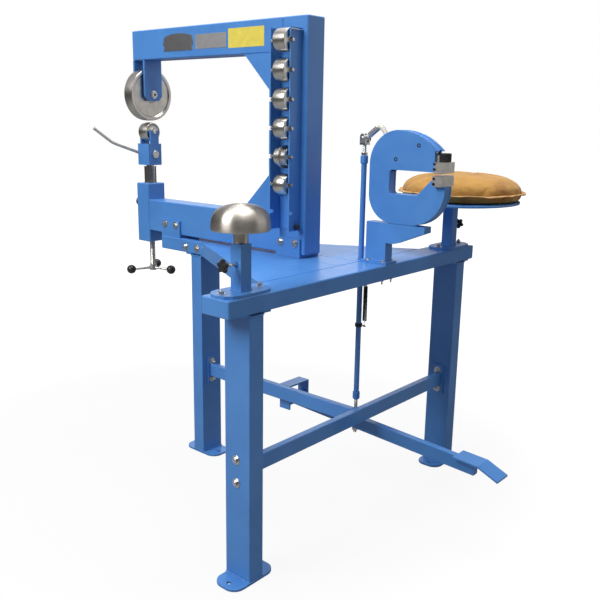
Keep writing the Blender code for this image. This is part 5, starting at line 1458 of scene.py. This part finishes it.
class STATION_OT_studio(bpy.types.Operator):
    """Set the pale studio, its lamps and the camera of the photograph"""

    bl_idname = "station.studio"
    bl_label = "Studio and camera"

    def execute(self, context):
        scene = context.scene
        scene.view_settings.view_transform = "Standard"
        self.floor()
        self.world(scene)
        self.lamps(scene)
        self.camera(scene)
        return {"FINISHED"}

    def floor(self):
        """White to the camera, with enough of the real surface left for the shadow."""
        shape = bmesh.new()
        bmesh.ops.create_grid(shape, x_segments=2, y_segments=2, size=14)
        floor = mesh_piece("studio_floor", shape, at((0, 0, -0.0005)))
        material = bpy.data.materials.new("studio_floor_white")
        material.use_nodes = True
        tree = material.node_tree
        shader = tree.nodes["Principled BSDF"]
        base(shader, (0.28, 0.28, 0.28), 0.9)
        put(shader, {"Specular IOR Level": 0.0})
        glow = node(tree, "ShaderNodeEmission", Color=(*finish_values().backdrop, 1), Strength=1.14)
        away = node(tree, "ShaderNodeVectorMath", operation="LENGTH")
        wire_up(tree, node(tree, "ShaderNodeTexCoord"), "Object", away, 0)
        fade = node(tree, "ShaderNodeMapRange", interpolation_type="SMOOTHSTEP")
        put(fade, {"From Min": 0.9, "From Max": 2.3, "To Min": 0.80, "To Max": 1.0})
        wire_up(tree, away, "Value", fade, "Value")
        share = node(tree, "ShaderNodeMath", operation="MULTIPLY")
        wire_up(tree, node(tree, "ShaderNodeLightPath"), "Is Camera Ray", share, 0)
        wire_up(tree, fade, "Result", share, 1)
        self.mix(tree, (share, "Value"), (shader, "BSDF"), (glow, "Emission"), "Material Output")
        floor.data.materials.append(material)

    def mix(self, tree, factor, first, second, end):
        """Blend two shaders by a factor into the end of a node tree."""
        blend = node(tree, "ShaderNodeMixShader")
        for place, (source, output) in enumerate((factor, first, second)):
            wire_up(tree, source, output, blend, place)
        wire_up(tree, blend, "Shader", tree.nodes[end], "Surface")

    def world(self, scene):
        """A sky that brightens upwards, two soft panels, and white to the camera."""
        world = bpy.data.worlds.new("studio_world")
        scene.world = world
        world.use_nodes = True
        tree = world.node_tree
        background = tree.nodes["Background"]
        put(background, {"Strength": 0.35})
        place = node(tree, "ShaderNodeTexCoord")
        apart = node(tree, "ShaderNodeSeparateXYZ")
        wire_up(tree, place, "Generated", apart, "Vector")
        levels = ((0.0, 0.10), (0.06, 0.16), (0.22, 0.34), (0.42, 0.80), (0.80, 1.05))
        stops = [(position, (level, level, level * 1.02)) for position, level in levels]
        total = (ramp(tree, apart, stops, "Z"), "Color")
        panels = (((0.70, -0.70, 0.06), 0.80, 0.97, 1.9), ((0.64, 0.68, 0.30), 0.90, 0.98, 2.4))
        for way, start, full, level in panels:
            facing = node(tree, "ShaderNodeVectorMath", operation="DOT_PRODUCT")
            facing.inputs[1].default_value = Vector(way).normalized()
            wire_up(tree, place, "Generated", facing, 0)
            edge = node(tree, "ShaderNodeMapRange", interpolation_type="SMOOTHSTEP")
            put(edge, {"From Min": start, "From Max": full, "To Min": 0.0, "To Max": level})
            wire_up(tree, facing, "Value", edge, "Value")
            added = node(tree, "ShaderNodeVectorMath")
            wire_up(tree, *total, added, 0)
            wire_up(tree, edge, "Result", added, 1)
            total = (added, "Vector")
        wire_up(tree, *total, background, "Color")
        white = node(tree, "ShaderNodeBackground", Color=(*finish_values().backdrop, 1), Strength=1.0)
        path = node(tree, "ShaderNodeLightPath")
        self.mix(tree, (path, "Is Camera Ray"), (background, "Background"), (white, "Background"),
                 "World Output")

    def lamps(self, scene):
        target = Vector((0, -0.35, 0.8))
        lamps = (("key_lamp", (-3.6, 0.4, 3.6), 2.2, 160.0), ("top_lamp", (0.2, -0.3, 4.6), 2.6, 122.0))
        for name, place, size, power in lamps:
            data = bpy.data.lights.new(name, "AREA")
            data.shape = "SQUARE"
            data.size = size
            data.energy = power
            lamp = bpy.data.objects.new(name, data)
            lamp.location = place
            lamp.rotation_euler = (target - Vector(place)).to_track_quat("-Z", "Y").to_euler()
            scene.collection.objects.link(lamp)

    def camera(self, scene):
        """The photograph's camera: a lens of 762.253 pixels on a picture of 600."""
        yaw, pitch, roll = 0.8587690, -0.2351128, 0.0160180
        sensor, lens_pixels, picture_pixels = 36.0, 762.253, 600
        ahead = Vector((*polar(math.cos(pitch), QUARTER - yaw), math.sin(pitch)))
        right = Vector((math.cos(yaw), -math.sin(yaw), 0))
        up = right.cross(ahead)
        tilted = math.cos(roll) * right + math.sin(roll) * up
        over = -math.sin(roll) * right + math.cos(roll) * up
        turn = Matrix((tilted, over, -ahead)).transposed()
        data = bpy.data.cameras.new("photo_camera")
        data.sensor_width = sensor
        data.lens = lens_pixels / picture_pixels * sensor
        data.clip_end = 60
        camera = bpy.data.objects.new("photo_camera", data)
        camera.matrix_world = at((-1.99576, -2.21805, 1.35334)) @ turn.to_4x4()
        scene.collection.objects.link(camera)
        scene.camera = camera


STEPS = (
    STATION_OT_paint_frame,
    STATION_OT_legs,
    STATION_OT_turn_wheels,
    STATION_OT_turn_spares,
    STATION_OT_feed_screw,
    STATION_OT_release,
    STATION_OT_knobs,
    STATION_OT_shrinker,
    STATION_OT_linkage,
    STATION_OT_spring,
    STATION_OT_dolly,
    STATION_OT_tray,
    STATION_OT_sand_bag,
    STATION_OT_fasteners,
    STATION_OT_welds,
    STATION_OT_plates,
    STATION_OT_studio,
)


class STATION_PT_sidebar(bpy.types.Panel):
    """The station's steps and sizes"""

    bl_idname = "STATION_PT_sidebar"
    bl_label = "Wheeling station"
    bl_space_type = "VIEW_3D"
    bl_region_type = "UI"
    bl_category = "Station"

    def draw(self, context):
        for group in (context.scene.station_finish, context.scene.station_sizes):
            for name in group.__annotations__:
                self.layout.prop(group, name)
        for step in STEPS:
            self.layout.operator(step.bl_idname)


CLASSES = (StationFinish, StationSizes, *STEPS, STATION_PT_sidebar)


def register():
    for item in CLASSES:
        bpy.utils.register_class(item)
    bpy.types.Scene.station_finish = PointerProperty(type=StationFinish)
    bpy.types.Scene.station_sizes = PointerProperty(type=StationSizes)


def unregister():
    del bpy.types.Scene.station_sizes
    del bpy.types.Scene.station_finish
    for item in reversed(CLASSES):
        bpy.utils.unregister_class(item)


def main():
    register()
    for step in STEPS:
        group, name = step.bl_idname.split(".")
        getattr(getattr(bpy.ops, group), name)()
    bpy.context.view_layer.update()


if __name__ == "__main__":
    main()
